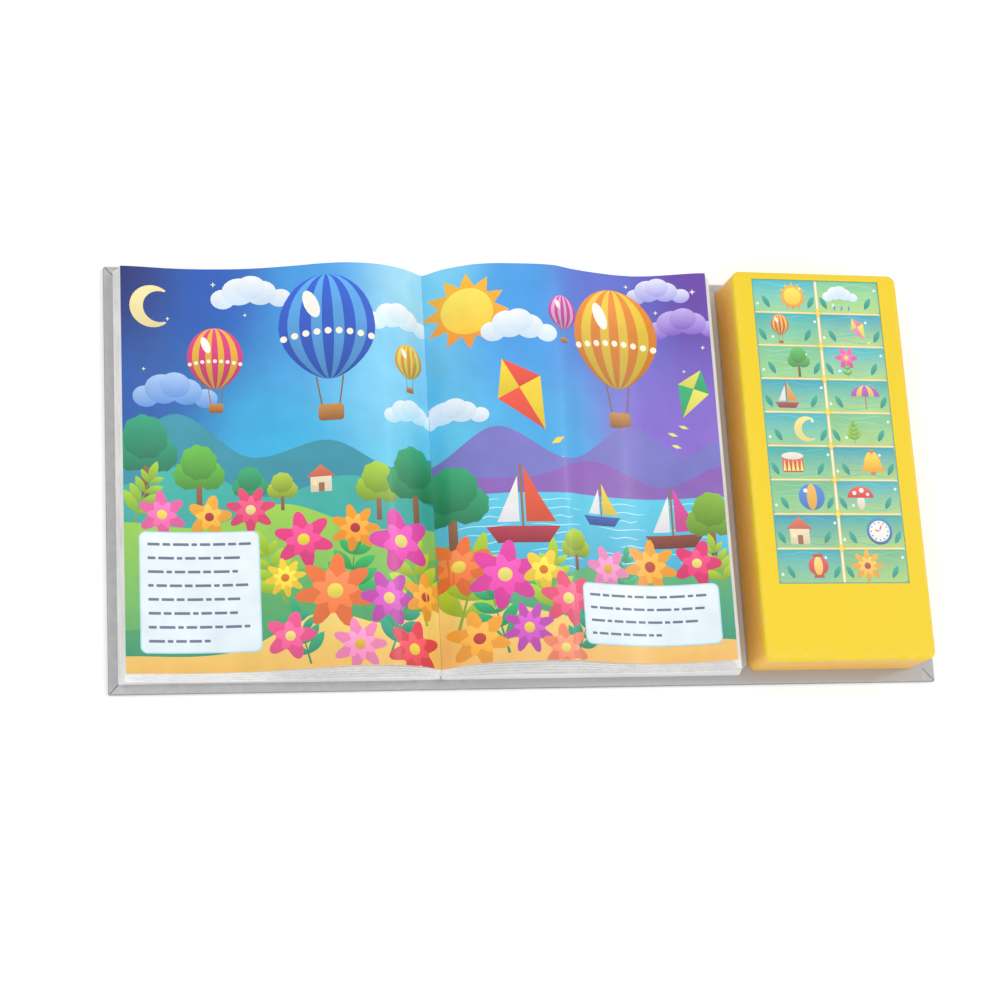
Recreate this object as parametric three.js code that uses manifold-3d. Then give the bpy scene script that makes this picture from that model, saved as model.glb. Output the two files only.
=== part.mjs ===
import * as THREE from 'three';
import { mergeVertices } from 'three/addons/utils/BufferGeometryUtils.js';
import Module from 'manifold-3d';

// A sound book lying open: a hardback cover with its leaves, and a sound module with eighteen
// picture keys beside them. Millimetres. X runs across the cover, Y up the page, Z up from the table.

const wasm = await Module();
wasm.setup();

// Cover
const coverWidth = 500;
const coverHeight = 255;
const boardThickness = 3;
const spineWidth = 22;
const jointGap = 7;
const closedRoom = 29;
const closedEdgeGap = 1.5;
const spineClearance = 1;

// Leaves
const pageBottomMargin = 5.5;
const pageTopMargin = 3.5;
const pageModuleGap = 6.9;
const leafCount = 5;
const leafSlit = 0.5;
const leafFan = 0.9;
const slitStart = 14;
const tipGap = 1;
const closedLeafGap = 5;
const gutterHeight = 5.5;
const leftHump = 10.6;
const leftDip = 5.2;
const leftEdge = 8;
const rightDip = 11;

// Endpapers
const endpaperThickness = 0.4;
const endpaperInset = 5.5;
const endpaperModuleGap = 1;
const endpaperChamfer = 6.6;

// Module housing
const moduleWidth = 108;
const moduleRightMargin = 12.5;
const moduleBottomMargin = 8;
const moduleTopMargin = 3;
const cornerRadius = 5;
const wall = 2;
const floorThickness = 2;
const plateThickness = 2;
const capDepth = 4.5;
const capEdgeRadius = 1.6;
const lipDepth = 3;
const lipThickness = 1.5;
const fit = 0.3;

// Picture film and keys
const filmSideMargin = 12.4;
const filmTopMargin = 4.8;
const filmBottomMargin = 46.6;
const filmRecess = 0.6;
const filmThickness = 0.35;
const keyColumns = 2;
const keyRows = 9;
const ribWidth = 2.5;
const keyClearance = 0.4;
const keyFlange = 0.6;
const flangeThickness = 1.2;
const stemSide = 8;
const stemLength = 2.2;
const keyTravel = 0.8;

// Switch mat and circuit board
const domeRadius = 5;
const domeHeight = 1.8;
const domeWall = 1;
const matThickness = 0.8;
const matSideMargin = 9;
const circuitSideMargin = 2.6;
const circuitOverhang = 0.2;
const circuitThickness = 1.2;
const chipRadius = 5;
const chipHeight = 1.5;

// Screws
const screwRadius = 1.2;
const screwHeadRadius = 2.6;
const screwHeadHeight = 1.6;
const postRadius = 4.6;
const postInset = 8.5;
const postSeat = 5.7;
const postScrewEndGap = 1;
const bossRadius = 3.2;
const bossDrop = 4;
const circuitScrewInset = 4;
const circuitScrewLength = 9;

// Window for batteries and speaker in the underside
const islandSideMargin = 13;
const islandLength = 36;
const islandInset = 4.5;
const islandRise = 0.6;

// Batteries
const cellRadius = 5.8;
const cellThickness = 5.4;
const cellCount = 3;
const contactThickness = 0.4;
const contactWidth = 9;
const contactTab = 4;
const springHeight = 2.2;
const springRadius = 3.2;
const bayWall = 1.5;
const doorInset = 2;
const doorThickness = 1.5;
const doorLedge = 2;
const doorScrewEnd = 8;
const doorScrewRadius = 1;
const doorScrewHead = 2.1;
const doorScrewHeadHeight = 0.8;
const doorScrewLength = 4.2;

// Speaker
const speakerInset = 3;
const speakerRadius = 16;
const speakerRim = 3;
const speakerRimHeight = 1.2;
const speakerDepth = 6;
const speakerSheet = 1;
const magnetRadius = 8;
const magnetHeight = 4;
const soundSlots = 5;
const soundSlotWidth = 1.8;
const soundSlotPitch = 4.4;

// Wires
const wireRadius = 0.6;
const wireSides = 8;
const wireSteps = 12;
const wireSidestep = 8;
const speakerWirePitch = 8;

const black = finish(0x2b2b2b, 0.6, 0);
const greyCover = finish(0xb5b5b7, 0.7, 0);
const paperWhite = finish(0xe6e4e2, 0.8, 0);
const pagePrint = finish(0x2f8fc4, 0.45, 0);
const orangePlastic = finish(0xf7b53c, 0.5, 0);
const yellowPlastic = finish(0xf7d90c, 0.4, 0);
const filmPrint = finish(0x8fd0c4, 0.25, 0);
const keyPlastic = finish(0xf2f2ee, 0.5, 0);
const matRubber = finish(0xd9d9d2, 0.8, 0);
const circuitGreen = finish(0x2f7a3d, 0.5, 0.1);
const steel = finish(0xb9bcc0, 0.35, 0.9);
const magnetFerrite = finish(0x4a4a4e, 0.6, 0.3);
const coneCard = finish(0x3a3a3c, 0.9, 0);
const wireRed = finish(0xc23a2e, 0.5, 0);

function finish(color, roughness, metalness) {
  return new THREE.MeshStandardMaterial({ color, roughness, metalness });
}

// Shape helpers

function toSolid(geometry) {
  const bare = geometry.clone();
  bare.deleteAttribute('normal');
  bare.deleteAttribute('uv');
  const merged = mergeVertices(bare, 1e-4);
  return new wasm.Manifold(new wasm.Mesh({
    numProp: 3,
    vertProperties: new Float32Array(merged.attributes.position.array),
    triVerts: new Uint32Array(merged.index.array),
  }));
}

function toGeometry(solid) {
  const { vertProperties, triVerts } = solid.getMesh();
  const geometry = new THREE.BufferGeometry();
  geometry.setAttribute('position', new THREE.BufferAttribute(vertProperties, 3));
  geometry.setIndex(new THREE.BufferAttribute(triVerts, 1));
  geometry.computeVertexNormals();
  return geometry;
}

function carve(bodies, tools = []) {
  const [first, ...rest] = bodies.map(toSolid);
  const joined = rest.reduce((sum, body) => sum.add(body), first);
  return toGeometry(tools.map(toSolid).reduce((left, tool) => left.subtract(tool), joined));
}

function block(x0, x1, y0, y1, z0, z1) {
  const geometry = new THREE.BoxGeometry(x1 - x0, y1 - y0, z1 - z0);
  return geometry.translate((x0 + x1) / 2, (y0 + y1) / 2, (z0 + z1) / 2);
}

function centredBlock(width, length, y, z0, z1) {
  return block(-width / 2, width / 2, y - length / 2, y + length / 2, z0, z1);
}

function drum(x, y, z0, z1, radius, sides = 16) {
  const geometry = new THREE.CylinderGeometry(radius, radius, z1 - z0, sides);
  return geometry.rotateX(Math.PI / 2).translate(x, y, (z0 + z1) / 2);
}

function roundedOutline(width, length, radius) {
  const x = width / 2;
  const y = length / 2;
  const shape = new THREE.Shape();
  shape.moveTo(-x + radius, -y);
  shape.absarc(x - radius, -y + radius, radius, -Math.PI / 2, 0);
  shape.absarc(x - radius, y - radius, radius, 0, Math.PI / 2);
  shape.absarc(-x + radius, y - radius, radius, Math.PI / 2, Math.PI);
  shape.absarc(-x + radius, -y + radius, radius, Math.PI, Math.PI * 1.5);
  return shape;
}

function roundedPlate(width, length, radius, z0, z1) {
  return prism(roundedOutline(width, length, radius), z0, z1);
}

function softTopPlate(width, length, radius, edge, z0, z1) {
  const outline = roundedOutline(width - 2 * edge, length - 2 * edge, radius - edge);
  const settings = {
    depth: z1 - z0 - edge, bevelThickness: edge, bevelSize: edge, bevelSegments: 3, curveSegments: 5,
  };
  const plate = new THREE.ExtrudeGeometry(outline, settings).translate(0, 0, z0);
  return carve([plate], [centredBlock(width + edge, length + edge, 0, z0 - 2 * edge, z0)]);
}

function prism(shape, z0, z1) {
  const settings = { depth: z1 - z0, bevelEnabled: false, curveSegments: 5 };
  return new THREE.ExtrudeGeometry(shape, settings).translate(0, 0, z0);
}

function turned(points, sides = 24) {
  const profile = points.map(([radius, height]) => new THREE.Vector2(radius, height));
  return new THREE.LatheGeometry(profile, sides).rotateX(Math.PI / 2);
}

function part(name, geometry, material, x = 0, y = 0, z = 0) {
  const mesh = new THREE.Mesh(geometry, material);
  mesh.name = name;
  mesh.position.set(x, y, z);
  return mesh;
}

function group(x, y, z, ...children) {
  const holder = new THREE.Group();
  holder.position.set(x, y, z);
  holder.add(...children);
  return holder;
}

// Places worked out from the sizes above

const coverRight = coverWidth / 2;
const coverTop = coverHeight / 2;
const boardInnerEdge = spineWidth / 2 + jointGap;
const paperTop = boardThickness + endpaperThickness;
const moduleHeight = closedRoom + boardThickness;
const moduleLength = coverHeight - moduleBottomMargin - moduleTopMargin;
const moduleX = coverRight - moduleRightMargin - moduleWidth / 2;
const moduleY = (moduleBottomMargin - moduleTopMargin) / 2;
const moduleLeft = moduleX - moduleWidth / 2;
const gutterX = (moduleLeft - closedEdgeGap - coverRight) / 2;
const pageWidth = moduleLeft - pageModuleGap - leafFan * (leafCount - 1) - gutterX;
const pageHeight = coverHeight - pageBottomMargin - pageTopMargin;
const pageY = (pageBottomMargin - pageTopMargin) / 2;
const rimZ = moduleHeight - capDepth;
const plateZ = moduleHeight - plateThickness;
const filmWidth = moduleWidth - 2 * filmSideMargin;
const filmLength = moduleLength - filmTopMargin - filmBottomMargin;
const filmY = (filmBottomMargin - filmTopMargin) / 2;
const circuitWidth = filmWidth - 2 * circuitSideMargin;
const circuitLength = filmLength + 2 * circuitOverhang;
const matWidth = circuitWidth - 2 * matSideMargin;
const cellWidth = filmWidth / keyColumns;
const cellLength = filmLength / keyRows;
const holeWidth = cellWidth - ribWidth;
const holeLength = cellLength - ribWidth;
const filmZ = moduleHeight - filmRecess;
const keyTopZ = filmZ - fit;
const flangeTopZ = plateZ - fit;
const stemBottomZ = flangeTopZ - flangeThickness - stemLength;
const domeTopZ = stemBottomZ - keyTravel - fit;
const matTopZ = domeTopZ - domeHeight;
const circuitTopZ = matTopZ - matThickness;
const circuitZ = circuitTopZ - circuitThickness;
const postX = moduleWidth / 2 - postInset;
const postY = moduleLength / 2 - postInset;
const bossBottomZ = plateZ - bossDrop;
const postTopZ = bossBottomZ - fit;
const postHeadZ = postTopZ - postSeat;
const postScrewLength = postSeat + fit + bossDrop - postScrewEndGap;
const circuitScrewX = circuitWidth / 2 - circuitScrewInset;
const circuitScrewY = circuitLength / 2 - circuitScrewInset;
const islandWidth = moduleWidth - 2 * islandSideMargin;
const islandY = -moduleLength / 2 + islandInset + islandLength / 2;
const islandZ = islandRise - boardThickness;
const cells = cellCount * cellThickness;
const bayLength = cells + 2 * contactThickness + springHeight + 2 * fit;
const bayWidth = 2 * (cellRadius + fit);
const doorTopZ = islandZ + doorThickness;
const cellZ = doorTopZ + fit + cellRadius;
const bayRoofZ = cellZ + cellRadius + fit;
const doorLeft = -islandWidth / 2 + doorInset;
const bayX = doorLeft + doorLedge + bayLength / 2;
const doorRight = bayX + bayLength / 2 + doorLedge + doorScrewEnd;
const doorScrewX = doorRight - (doorScrewEnd + doorLedge) / 2;
const speakerX = islandWidth / 2 - speakerInset - speakerRadius;
const corners = [[-1, -1], [1, -1], [-1, 1], [1, 1]];
const cornerNames = ['lower_left', 'lower_right', 'upper_left', 'upper_right'];

// Cover: two boards and the spine strip between them, flat on the table

function boards() {
  const length = coverHeight;
  const frontWidth = gutterX - boardInnerEdge + coverRight;
  const backWidth = coverRight - gutterX - boardInnerEdge;
  const front = new THREE.BoxGeometry(frontWidth, length, boardThickness);
  const strip = new THREE.BoxGeometry(spineWidth, length, boardThickness);
  const backX = coverRight - backWidth / 2;
  const back = new THREE.BoxGeometry(backWidth, length, boardThickness);
  const windowX = moduleX - backX;
  const windowY = moduleY + islandY;
  const window = centredBlock(
    islandWidth + 2 * fit, islandLength + 2 * fit, windowY, -boardThickness, boardThickness,
  ).translate(windowX, 0, 0);
  const middle = boardThickness / 2;
  return [
    part('front_board', front, greyCover, frontWidth / 2 - coverRight, 0, middle),
    part('spine_strip', strip, greyCover, gutterX, 0, middle),
    part('back_board', carve([back], [window]), greyCover, backX, 0, middle),
  ];
}

function endpapers() {
  const edgeY = coverTop - endpaperInset;
  const front = new THREE.Shape();
  const frontInner = gutterX - boardInnerEdge;
  front.moveTo(-coverRight + endpaperInset, -edgeY);
  front.lineTo(frontInner, -edgeY);
  front.lineTo(frontInner, edgeY);
  front.lineTo(-coverRight + endpaperInset, edgeY);
  const back = new THREE.Shape();
  const backInner = gutterX + boardInnerEdge;
  const backOuter = moduleLeft - endpaperModuleGap;
  back.moveTo(backInner, -edgeY);
  back.lineTo(backOuter - endpaperChamfer, -edgeY);
  back.lineTo(backOuter, -edgeY + endpaperChamfer);
  back.lineTo(backOuter, edgeY);
  back.lineTo(backInner, edgeY);
  return [
    part('front_endpaper', prism(front, boardThickness, paperTop), paperWhite),
    part('back_endpaper', prism(back, boardThickness, paperTop), paperWhite),
  ];
}

// Leaves: each half is bound at the gutter and parts into leaves towards its outer edge.
// Heights are above the board, and the two halves fill the room between the boards when shut.

function stackTop(hump, humpStart, humpEnd, dip, dipAt, edge) {
  const rise = hump - gutterHeight;
  const fall = hump - dip;
  const points = [
    [0, gutterHeight],
    [humpStart / 2, gutterHeight + rise * 0.75],
    [humpStart, hump],
    [humpEnd, hump],
    [(humpEnd + dipAt) / 2, hump - fall * 0.7],
    [dipAt, dip],
    [1, edge],
  ];
  const curve = new THREE.SplineCurve(points.map(([x, z]) => new THREE.Vector2(x, z)));
  return (share) => {
    const count = points.length - 1;
    const next = Math.max(1, points.findIndex(([x]) => x >= share));
    const [x0] = points[next - 1];
    const [x1] = points[next];
    const at = (next - 1 + (share - x0) / (x1 - x0)) / count;
    return curve.getPoint(Math.min(1, at)).y;
  };
}

function leaves(topOf) {
  const quarter = closedRoom / 4;
  const cornerX = quarter - spineClearance / 2;
  const cornerZ = quarter + spineClearance / 2;
  const cornerRadiusOfStack = cornerZ - endpaperThickness;
  const tipX = tipGap / 2;
  const tipAngle = Math.acos(Math.min(1, (cornerX - tipX) / cornerRadiusOfStack));
  const outline = [];
  const samples = 14;
  const height = (x, share) => {
    const top = topOf(x / pageWidth);
    return endpaperThickness + (top - endpaperThickness) * share;
  };
  const run = (from, to, share, lift) => {
    for (let i = 0; i <= samples; i += 1) {
      const x = from + ((to - from) * i) / samples;
      outline.push([x, height(Math.min(x, pageWidth), share) + lift]);
    }
  };
  for (let i = 0; i <= 4; i += 1) {
    const angle = tipAngle + ((Math.PI / 2 - tipAngle) * i) / 4;
    outline.push([
      cornerX - Math.cos(angle) * cornerRadiusOfStack,
      cornerZ - Math.sin(angle) * cornerRadiusOfStack,
    ]);
  }
  for (let leaf = 0; leaf < leafCount; leaf += 1) {
    const reach = pageWidth + leafFan * (leafCount - 1 - leaf);
    const share = (leaf + 1) / leafCount;
    const isTop = leaf === leafCount - 1;
    if (leaf === 0) {
      outline.push([reach, endpaperThickness]);
    }
    if (isTop) {
      run(reach, tipX, 1, 0);
    } else {
      run(reach, slitStart, share, -leafSlit / 2);
      const above = reach - leafFan;
      run(slitStart, above, share, leafSlit / 2);
    }
  }
  return outline;
}

function pageStack(name, topOf, side) {
  const shape = new THREE.Shape();
  leaves(topOf).forEach(([x, z], index) => {
    if (index === 0) {
      shape.moveTo(side * x, z);
    } else {
      shape.lineTo(side * x, z);
    }
  });
  const geometry = prism(shape, -pageHeight / 2, pageHeight / 2).rotateX(Math.PI / 2);
  return part(name, geometry, pagePrint);
}

function pages() {
  const rightHump = closedRoom - closedLeafGap - leftHump;
  const rightEdge = closedRoom - closedLeafGap - leftEdge;
  const leftTop = stackTop(leftHump, 0.16, 0.3, leftDip, 0.8, leftEdge);
  const rightTop = stackTop(rightHump, 0.22, 0.43, rightDip, 0.74, rightEdge);
  return group(
    gutterX, pageY, boardThickness,
    pageStack('left_pages', leftTop, -1),
    pageStack('right_pages', rightTop, 1),
  );
}

// Module housing: an orange tray with a yellow plate, on the back board

function bayRoom() {
  return centredBlock(bayLength, bayWidth, islandY, doorTopZ - fit, bayRoofZ).translate(bayX, 0, 0);
}

function contactSlots() {
  const slotX = contactThickness + 2 * fit;
  const slotY = contactWidth + 2 * fit;
  return [-1, 1].map((end) => centredBlock(slotX, slotY, islandY, cellZ, bayRoofZ + 2 * bayWall)
    .translate(bayX + end * (bayLength / 2 - contactThickness / 2 - fit), 0, 0));
}

function doorRoom(margin) {
  const halfWidth = bayWidth / 2 + doorLedge;
  return block(
    doorLeft - margin, doorRight + margin,
    islandY - halfWidth - margin, islandY + halfWidth + margin,
    islandZ - margin, doorTopZ,
  );
}

function soundGrille() {
  const slots = [];
  for (let i = 0; i < soundSlots; i += 1) {
    const offset = (i - (soundSlots - 1) / 2) * soundSlotPitch;
    const reach = speakerRadius - speakerRim - 2;
    const half = Math.sqrt(reach * reach - offset * offset);
    slots.push(block(
      speakerX + offset - soundSlotWidth / 2, speakerX + offset + soundSlotWidth / 2,
      islandY - half, islandY + half, islandZ - 1, floorThickness + 1,
    ));
  }
  return slots;
}

function baseShell() {
  const outer = roundedPlate(moduleWidth, moduleLength, cornerRadius, 0, rimZ);
  const inner = roundedPlate(
    moduleWidth - 2 * wall, moduleLength - 2 * wall, cornerRadius - wall, floorThickness, rimZ + 1,
  );
  const tray = carve([outer], [inner]);
  const bodies = [
    tray,
    centredBlock(islandWidth, islandLength, islandY, islandZ, floorThickness),
    centredBlock(bayLength + 2 * bayWall, bayWidth + 2 * bayWall, islandY, 0, bayRoofZ + bayWall)
      .translate(bayX, 0, 0),
  ];
  const tools = [
    bayRoom(),
    doorRoom(fit),
    drum(doorScrewX, islandY, islandZ, floorThickness + 1, doorScrewRadius + fit),
    ...contactSlots(),
    ...soundGrille(),
  ];
  corners.forEach(([sideX, sideY]) => {
    const x = sideX * postX;
    const y = sideY * postY;
    bodies.push(drum(x, y, floorThickness / 2, postTopZ, postRadius));
    tools.push(drum(x, y, -1, postHeadZ, screwHeadRadius + fit));
    tools.push(drum(x, y, 0, postTopZ + 1, screwRadius + fit));
    const boardX = sideX * circuitScrewX;
    const boardY = filmY + sideY * circuitScrewY;
    bodies.push(drum(boardX, boardY, floorThickness / 2, circuitZ, bossRadius));
    tools.push(drum(boardX, boardY, circuitTopZ - circuitScrewLength - 1, circuitZ + 1, screwRadius + fit));
  });
  return part('base_shell', carve(bodies, tools), orangePlastic);
}

function topCover() {
  const lipWidth = moduleWidth - 2 * (wall + fit);
  const lipLength = moduleLength - 2 * (wall + fit);
  const lipRadius = cornerRadius - wall - fit;
  const lip = carve(
    [roundedPlate(lipWidth, lipLength, lipRadius, rimZ - lipDepth, moduleHeight - filmRecess)],
    [roundedPlate(
      lipWidth - 2 * lipThickness, lipLength - 2 * lipThickness, lipRadius - lipThickness,
      rimZ - lipDepth - 1, plateZ,
    )],
  );
  const cap = carve(
    [softTopPlate(moduleWidth, moduleLength, cornerRadius, capEdgeRadius, rimZ, moduleHeight)],
    [roundedPlate(
      moduleWidth - 2 * wall, moduleLength - 2 * wall, cornerRadius - wall, rimZ - 1, plateZ,
    )],
  );
  const bodies = [cap, lip];
  const tools = [centredBlock(filmWidth + fit, filmLength + fit, filmY, filmZ, moduleHeight + 1)];
  corners.forEach(([sideX, sideY]) => {
    const x = sideX * postX;
    const y = sideY * postY;
    bodies.push(drum(x, y, bossBottomZ, plateZ + filmRecess, bossRadius));
    tools.push(drum(x, y, bossBottomZ - 1, plateZ, screwRadius + fit));
  });
  keyCentres().forEach(({ x, y }) => {
    tools.push(block(
      x - holeWidth / 2, x + holeWidth / 2, y - holeLength / 2, y + holeLength / 2,
      plateZ - 1, moduleHeight,
    ));
  });
  return part('top_cover', carve(bodies, tools), yellowPlastic);
}

function pictureFilm() {
  const sheet = centredBlock(filmWidth, filmLength, filmY, filmZ, filmZ + filmThickness);
  return part('picture_film', sheet, filmPrint);
}

// Keys, the rubber mat that returns them, and the circuit board under it

function keyCentres() {
  const centres = [];
  for (let row = 0; row < keyRows; row += 1) {
    for (let column = 0; column < keyColumns; column += 1) {
      centres.push({
        name: `key_row${row + 1}_${column === 0 ? 'left' : 'right'}`,
        x: (column - (keyColumns - 1) / 2) * cellWidth,
        y: filmY + ((keyRows - 1) / 2 - row) * cellLength,
      });
    }
  }
  return centres;
}

function keys() {
  const bodyWidth = holeWidth - 2 * keyClearance;
  const bodyLength = holeLength - 2 * keyClearance;
  const flangeBottomZ = flangeTopZ - flangeThickness;
  const shape = carve([
    centredBlock(bodyWidth, bodyLength, 0, flangeBottomZ, keyTopZ),
    centredBlock(holeWidth + 2 * keyFlange, holeLength + 2 * keyFlange, 0, flangeBottomZ, flangeTopZ),
    centredBlock(stemSide, stemSide, 0, stemBottomZ, flangeTopZ),
  ]);
  return keyCentres().map(({ name, x, y }) => part(name, shape, keyPlastic, x, y));
}

function domeMat() {
  const sheet = centredBlock(matWidth, filmLength, filmY, circuitTopZ, matTopZ);
  const domes = keyCentres().map(({ x, y }) => drum(x, y, circuitTopZ, domeTopZ, domeRadius, 12));
  const rooms = keyCentres().map(
    ({ x, y }) => drum(x, y, circuitTopZ - 1, domeTopZ - domeWall, domeRadius - domeWall, 12),
  );
  return part('switch_mat', carve([sheet, ...domes], rooms), matRubber);
}

function circuit() {
  const holes = corners.map(([sideX, sideY]) => drum(
    sideX * circuitScrewX, filmY + sideY * circuitScrewY, circuitZ - 1, circuitTopZ + 1, screwRadius + fit,
  ));
  const board = centredBlock(circuitWidth, circuitLength, filmY, circuitZ, circuitTopZ);
  const chip = new THREE.CylinderGeometry(chipRadius, chipRadius * 0.7, chipHeight, 16).rotateX(Math.PI / 2);
  return [
    part('circuit_board', carve([board], holes), circuitGreen),
    part('sound_chip', chip, black, 0, filmY, circuitZ - chipHeight / 2),
  ];
}

// Screws

function screw(radius, length, headRadius, headHeight) {
  return turned([
    [0, 0], [headRadius, 0], [headRadius, headHeight], [radius, headHeight],
    [radius, headHeight + length], [0, headHeight + length],
  ], 12);
}

function housingScrews() {
  const shape = screw(screwRadius, postScrewLength, screwHeadRadius, screwHeadHeight);
  return corners.map(([sideX, sideY], index) => part(
    `housing_screw_${cornerNames[index]}`, shape, steel,
    sideX * postX, sideY * postY, postHeadZ - screwHeadHeight,
  ));
}

function circuitScrews() {
  const shape = screw(screwRadius, circuitScrewLength, screwHeadRadius, screwHeadHeight)
    .rotateX(Math.PI);
  return corners.map(([sideX, sideY], index) => part(
    `circuit_screw_${cornerNames[index]}`, shape, steel,
    sideX * circuitScrewX, filmY + sideY * circuitScrewY, circuitTopZ + screwHeadHeight,
  ));
}

// Battery bay: three button cells on end, two contacts, and a door held by a screw

function batteries() {
  const cell = new THREE.CylinderGeometry(cellRadius, cellRadius, cellThickness, 20)
    .rotateZ(Math.PI / 2);
  const left = bayX - bayLength / 2 + fit;
  const stackLeft = left + contactThickness;
  const stack = ['first', 'second', 'third'].map((order, index) => part(
    `button_cell_${order}`, cell, steel, stackLeft + (index + 0.5) * cellThickness, islandY, cellZ,
  ));
  const plate = centredBlock(
    contactThickness, contactWidth, 0, -cellRadius, bayRoofZ + bayWall + contactTab - cellZ,
  );
  const spring = new THREE.CylinderGeometry(springRadius, springRadius * 0.7, springHeight, 16)
    .rotateZ(Math.PI / 2).translate(-springHeight / 2, 0, 0);
  const springPlate = carve([plate, spring]);
  const positiveX = left + contactThickness / 2;
  const negativeX = stackLeft + cells + springHeight + contactThickness / 2;
  return [
    ...stack,
    part('plain_contact', plate, steel, positiveX, islandY, cellZ),
    part('spring_contact', springPlate, steel, negativeX, islandY, cellZ),
  ];
}

function door() {
  const headRoom = drum(
    doorScrewX, islandY, islandZ - 1, islandZ + doorScrewHeadHeight, doorScrewHead + fit,
  );
  const hole = drum(doorScrewX, islandY, islandZ, doorTopZ + 1, doorScrewRadius + fit);
  const shape = screw(doorScrewRadius, doorScrewLength, doorScrewHead, doorScrewHeadHeight);
  return [
    part('battery_door', carve([doorRoom(0)], [headRoom, hole]), orangePlastic),
    part('door_screw', shape, steel, doorScrewX, islandY, islandZ),
  ];
}

// Speaker, face down over the grille

function speaker() {
  const inner = speakerRadius - speakerRim;
  const basket = turned([
    [0, speakerDepth - speakerSheet], [magnetRadius, speakerDepth - speakerSheet],
    [inner, speakerSheet], [inner, 0], [speakerRadius, 0], [speakerRadius, speakerRimHeight],
    [inner + speakerSheet, speakerRimHeight], [magnetRadius + speakerSheet, speakerDepth],
    [0, speakerDepth],
  ]);
  const coneEdge = inner - fit;
  const cone = turned([
    [0, speakerDepth / 2], [magnetRadius / 2, speakerDepth / 2], [coneEdge - 1, 0], [coneEdge, 0],
    [coneEdge, speakerSheet / 2], [coneEdge - 1, speakerSheet / 2],
    [magnetRadius / 2, (speakerDepth + speakerSheet) / 2], [0, (speakerDepth + speakerSheet) / 2],
  ]);
  const magnet = drum(0, 0, 0, magnetHeight, magnetRadius, 24);
  return group(
    speakerX, islandY, floorThickness,
    part('speaker_basket', basket, steel),
    part('speaker_cone', cone, coneCard),
    part('speaker_magnet', magnet, magnetFerrite, 0, 0, speakerDepth),
  );
}

// Wires from the contacts and the speaker up to the circuit board

function wire(name, material, start, end) {
  const section = new THREE.Shape();
  for (let i = 0; i < wireSides; i += 1) {
    const angle = (i / wireSides) * 2 * Math.PI;
    const x = Math.cos(angle) * wireRadius;
    const y = Math.sin(angle) * wireRadius;
    if (i === 0) {
      section.moveTo(x, y);
    } else {
      section.lineTo(x, y);
    }
  }
  const rise = (end.z - start.z) / 2;
  const path = new THREE.CubicBezierCurve3(
    start,
    start.clone().add(new THREE.Vector3(0, 0, rise)),
    end.clone().sub(new THREE.Vector3(0, 0, rise)),
    end,
  );
  const settings = { steps: wireSteps, extrudePath: path, bevelEnabled: false };
  return part(name, new THREE.ExtrudeGeometry(section, settings), material);
}

function wires() {
  const tabZ = bayRoofZ + bayWall + contactTab + fit;
  const rimTopZ = floorThickness + speakerRimHeight + fit;
  const rimY = islandY + speakerRadius - speakerRim / 2 - wireRadius;
  const joinY = filmY - circuitLength / 2 + circuitScrewInset;
  const joinZ = circuitZ - fit;
  const from = (x, y, z) => new THREE.Vector3(x, y, z);
  const plainX = bayX - bayLength / 2 + fit + contactThickness / 2;
  const springX = plainX + cells + springHeight + contactThickness;
  const redX = speakerX - speakerWirePitch / 2;
  const blackX = speakerX + speakerWirePitch / 2;
  return [
    wire('battery_wire_red', wireRed,
      from(plainX, islandY, tabZ), from(plainX + wireSidestep, joinY, joinZ)),
    wire('battery_wire_black', black, from(springX, islandY, tabZ), from(springX, joinY, joinZ)),
    wire('speaker_wire_red', wireRed, from(redX, rimY, rimTopZ), from(redX, joinY, joinZ)),
    wire('speaker_wire_black', black, from(blackX, rimY, rimTopZ), from(blackX, joinY, joinZ)),
  ];
}

function soundModule() {
  return group(
    moduleX, moduleY, boardThickness,
    baseShell(), topCover(), pictureFilm(), ...keys(), domeMat(), ...circuit(),
    ...housingScrews(), ...circuitScrews(), ...batteries(), ...door(), speaker(), ...wires(),
  );
}

export default group(0, 0, 0, ...boards(), ...endpapers(), pages(), soundModule());
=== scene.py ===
"""A sound book lying open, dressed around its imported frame.

The boards, leaves and module follow the frame's own places. The leaves that stand open are bowed
sheets with a printed landscape, and the module has a film with eighteen little pictures.
"""
import math

import bmesh
import bpy
from mathutils import Matrix, Vector


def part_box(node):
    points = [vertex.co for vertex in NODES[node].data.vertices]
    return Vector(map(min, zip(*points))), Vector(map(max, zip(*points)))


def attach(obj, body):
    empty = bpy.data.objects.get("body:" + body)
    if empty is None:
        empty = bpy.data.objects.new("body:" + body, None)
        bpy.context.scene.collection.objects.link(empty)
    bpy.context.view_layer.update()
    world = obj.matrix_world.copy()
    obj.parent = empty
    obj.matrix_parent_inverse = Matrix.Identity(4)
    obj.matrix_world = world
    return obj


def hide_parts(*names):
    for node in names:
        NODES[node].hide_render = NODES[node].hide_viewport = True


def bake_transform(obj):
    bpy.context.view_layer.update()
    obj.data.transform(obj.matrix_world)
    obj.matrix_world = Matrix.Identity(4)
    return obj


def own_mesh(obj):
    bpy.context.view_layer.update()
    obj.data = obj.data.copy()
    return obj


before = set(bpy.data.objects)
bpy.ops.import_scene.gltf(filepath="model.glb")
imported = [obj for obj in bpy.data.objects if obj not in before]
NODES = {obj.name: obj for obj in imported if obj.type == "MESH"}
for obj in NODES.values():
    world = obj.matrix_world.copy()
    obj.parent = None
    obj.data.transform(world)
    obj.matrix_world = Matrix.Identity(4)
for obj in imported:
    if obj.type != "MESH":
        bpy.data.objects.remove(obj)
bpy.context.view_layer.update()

bl_info = {
    "name": "Sound Book",
    "version": (1, 0, 0),
    "blender": (4, 5, 0),
    "location": "3D View > Sidebar > Sound Book",
    "description": "Makes an open sound book with bowed leaves and a module of picture keys",
    "category": "Add Mesh",
}

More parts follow.
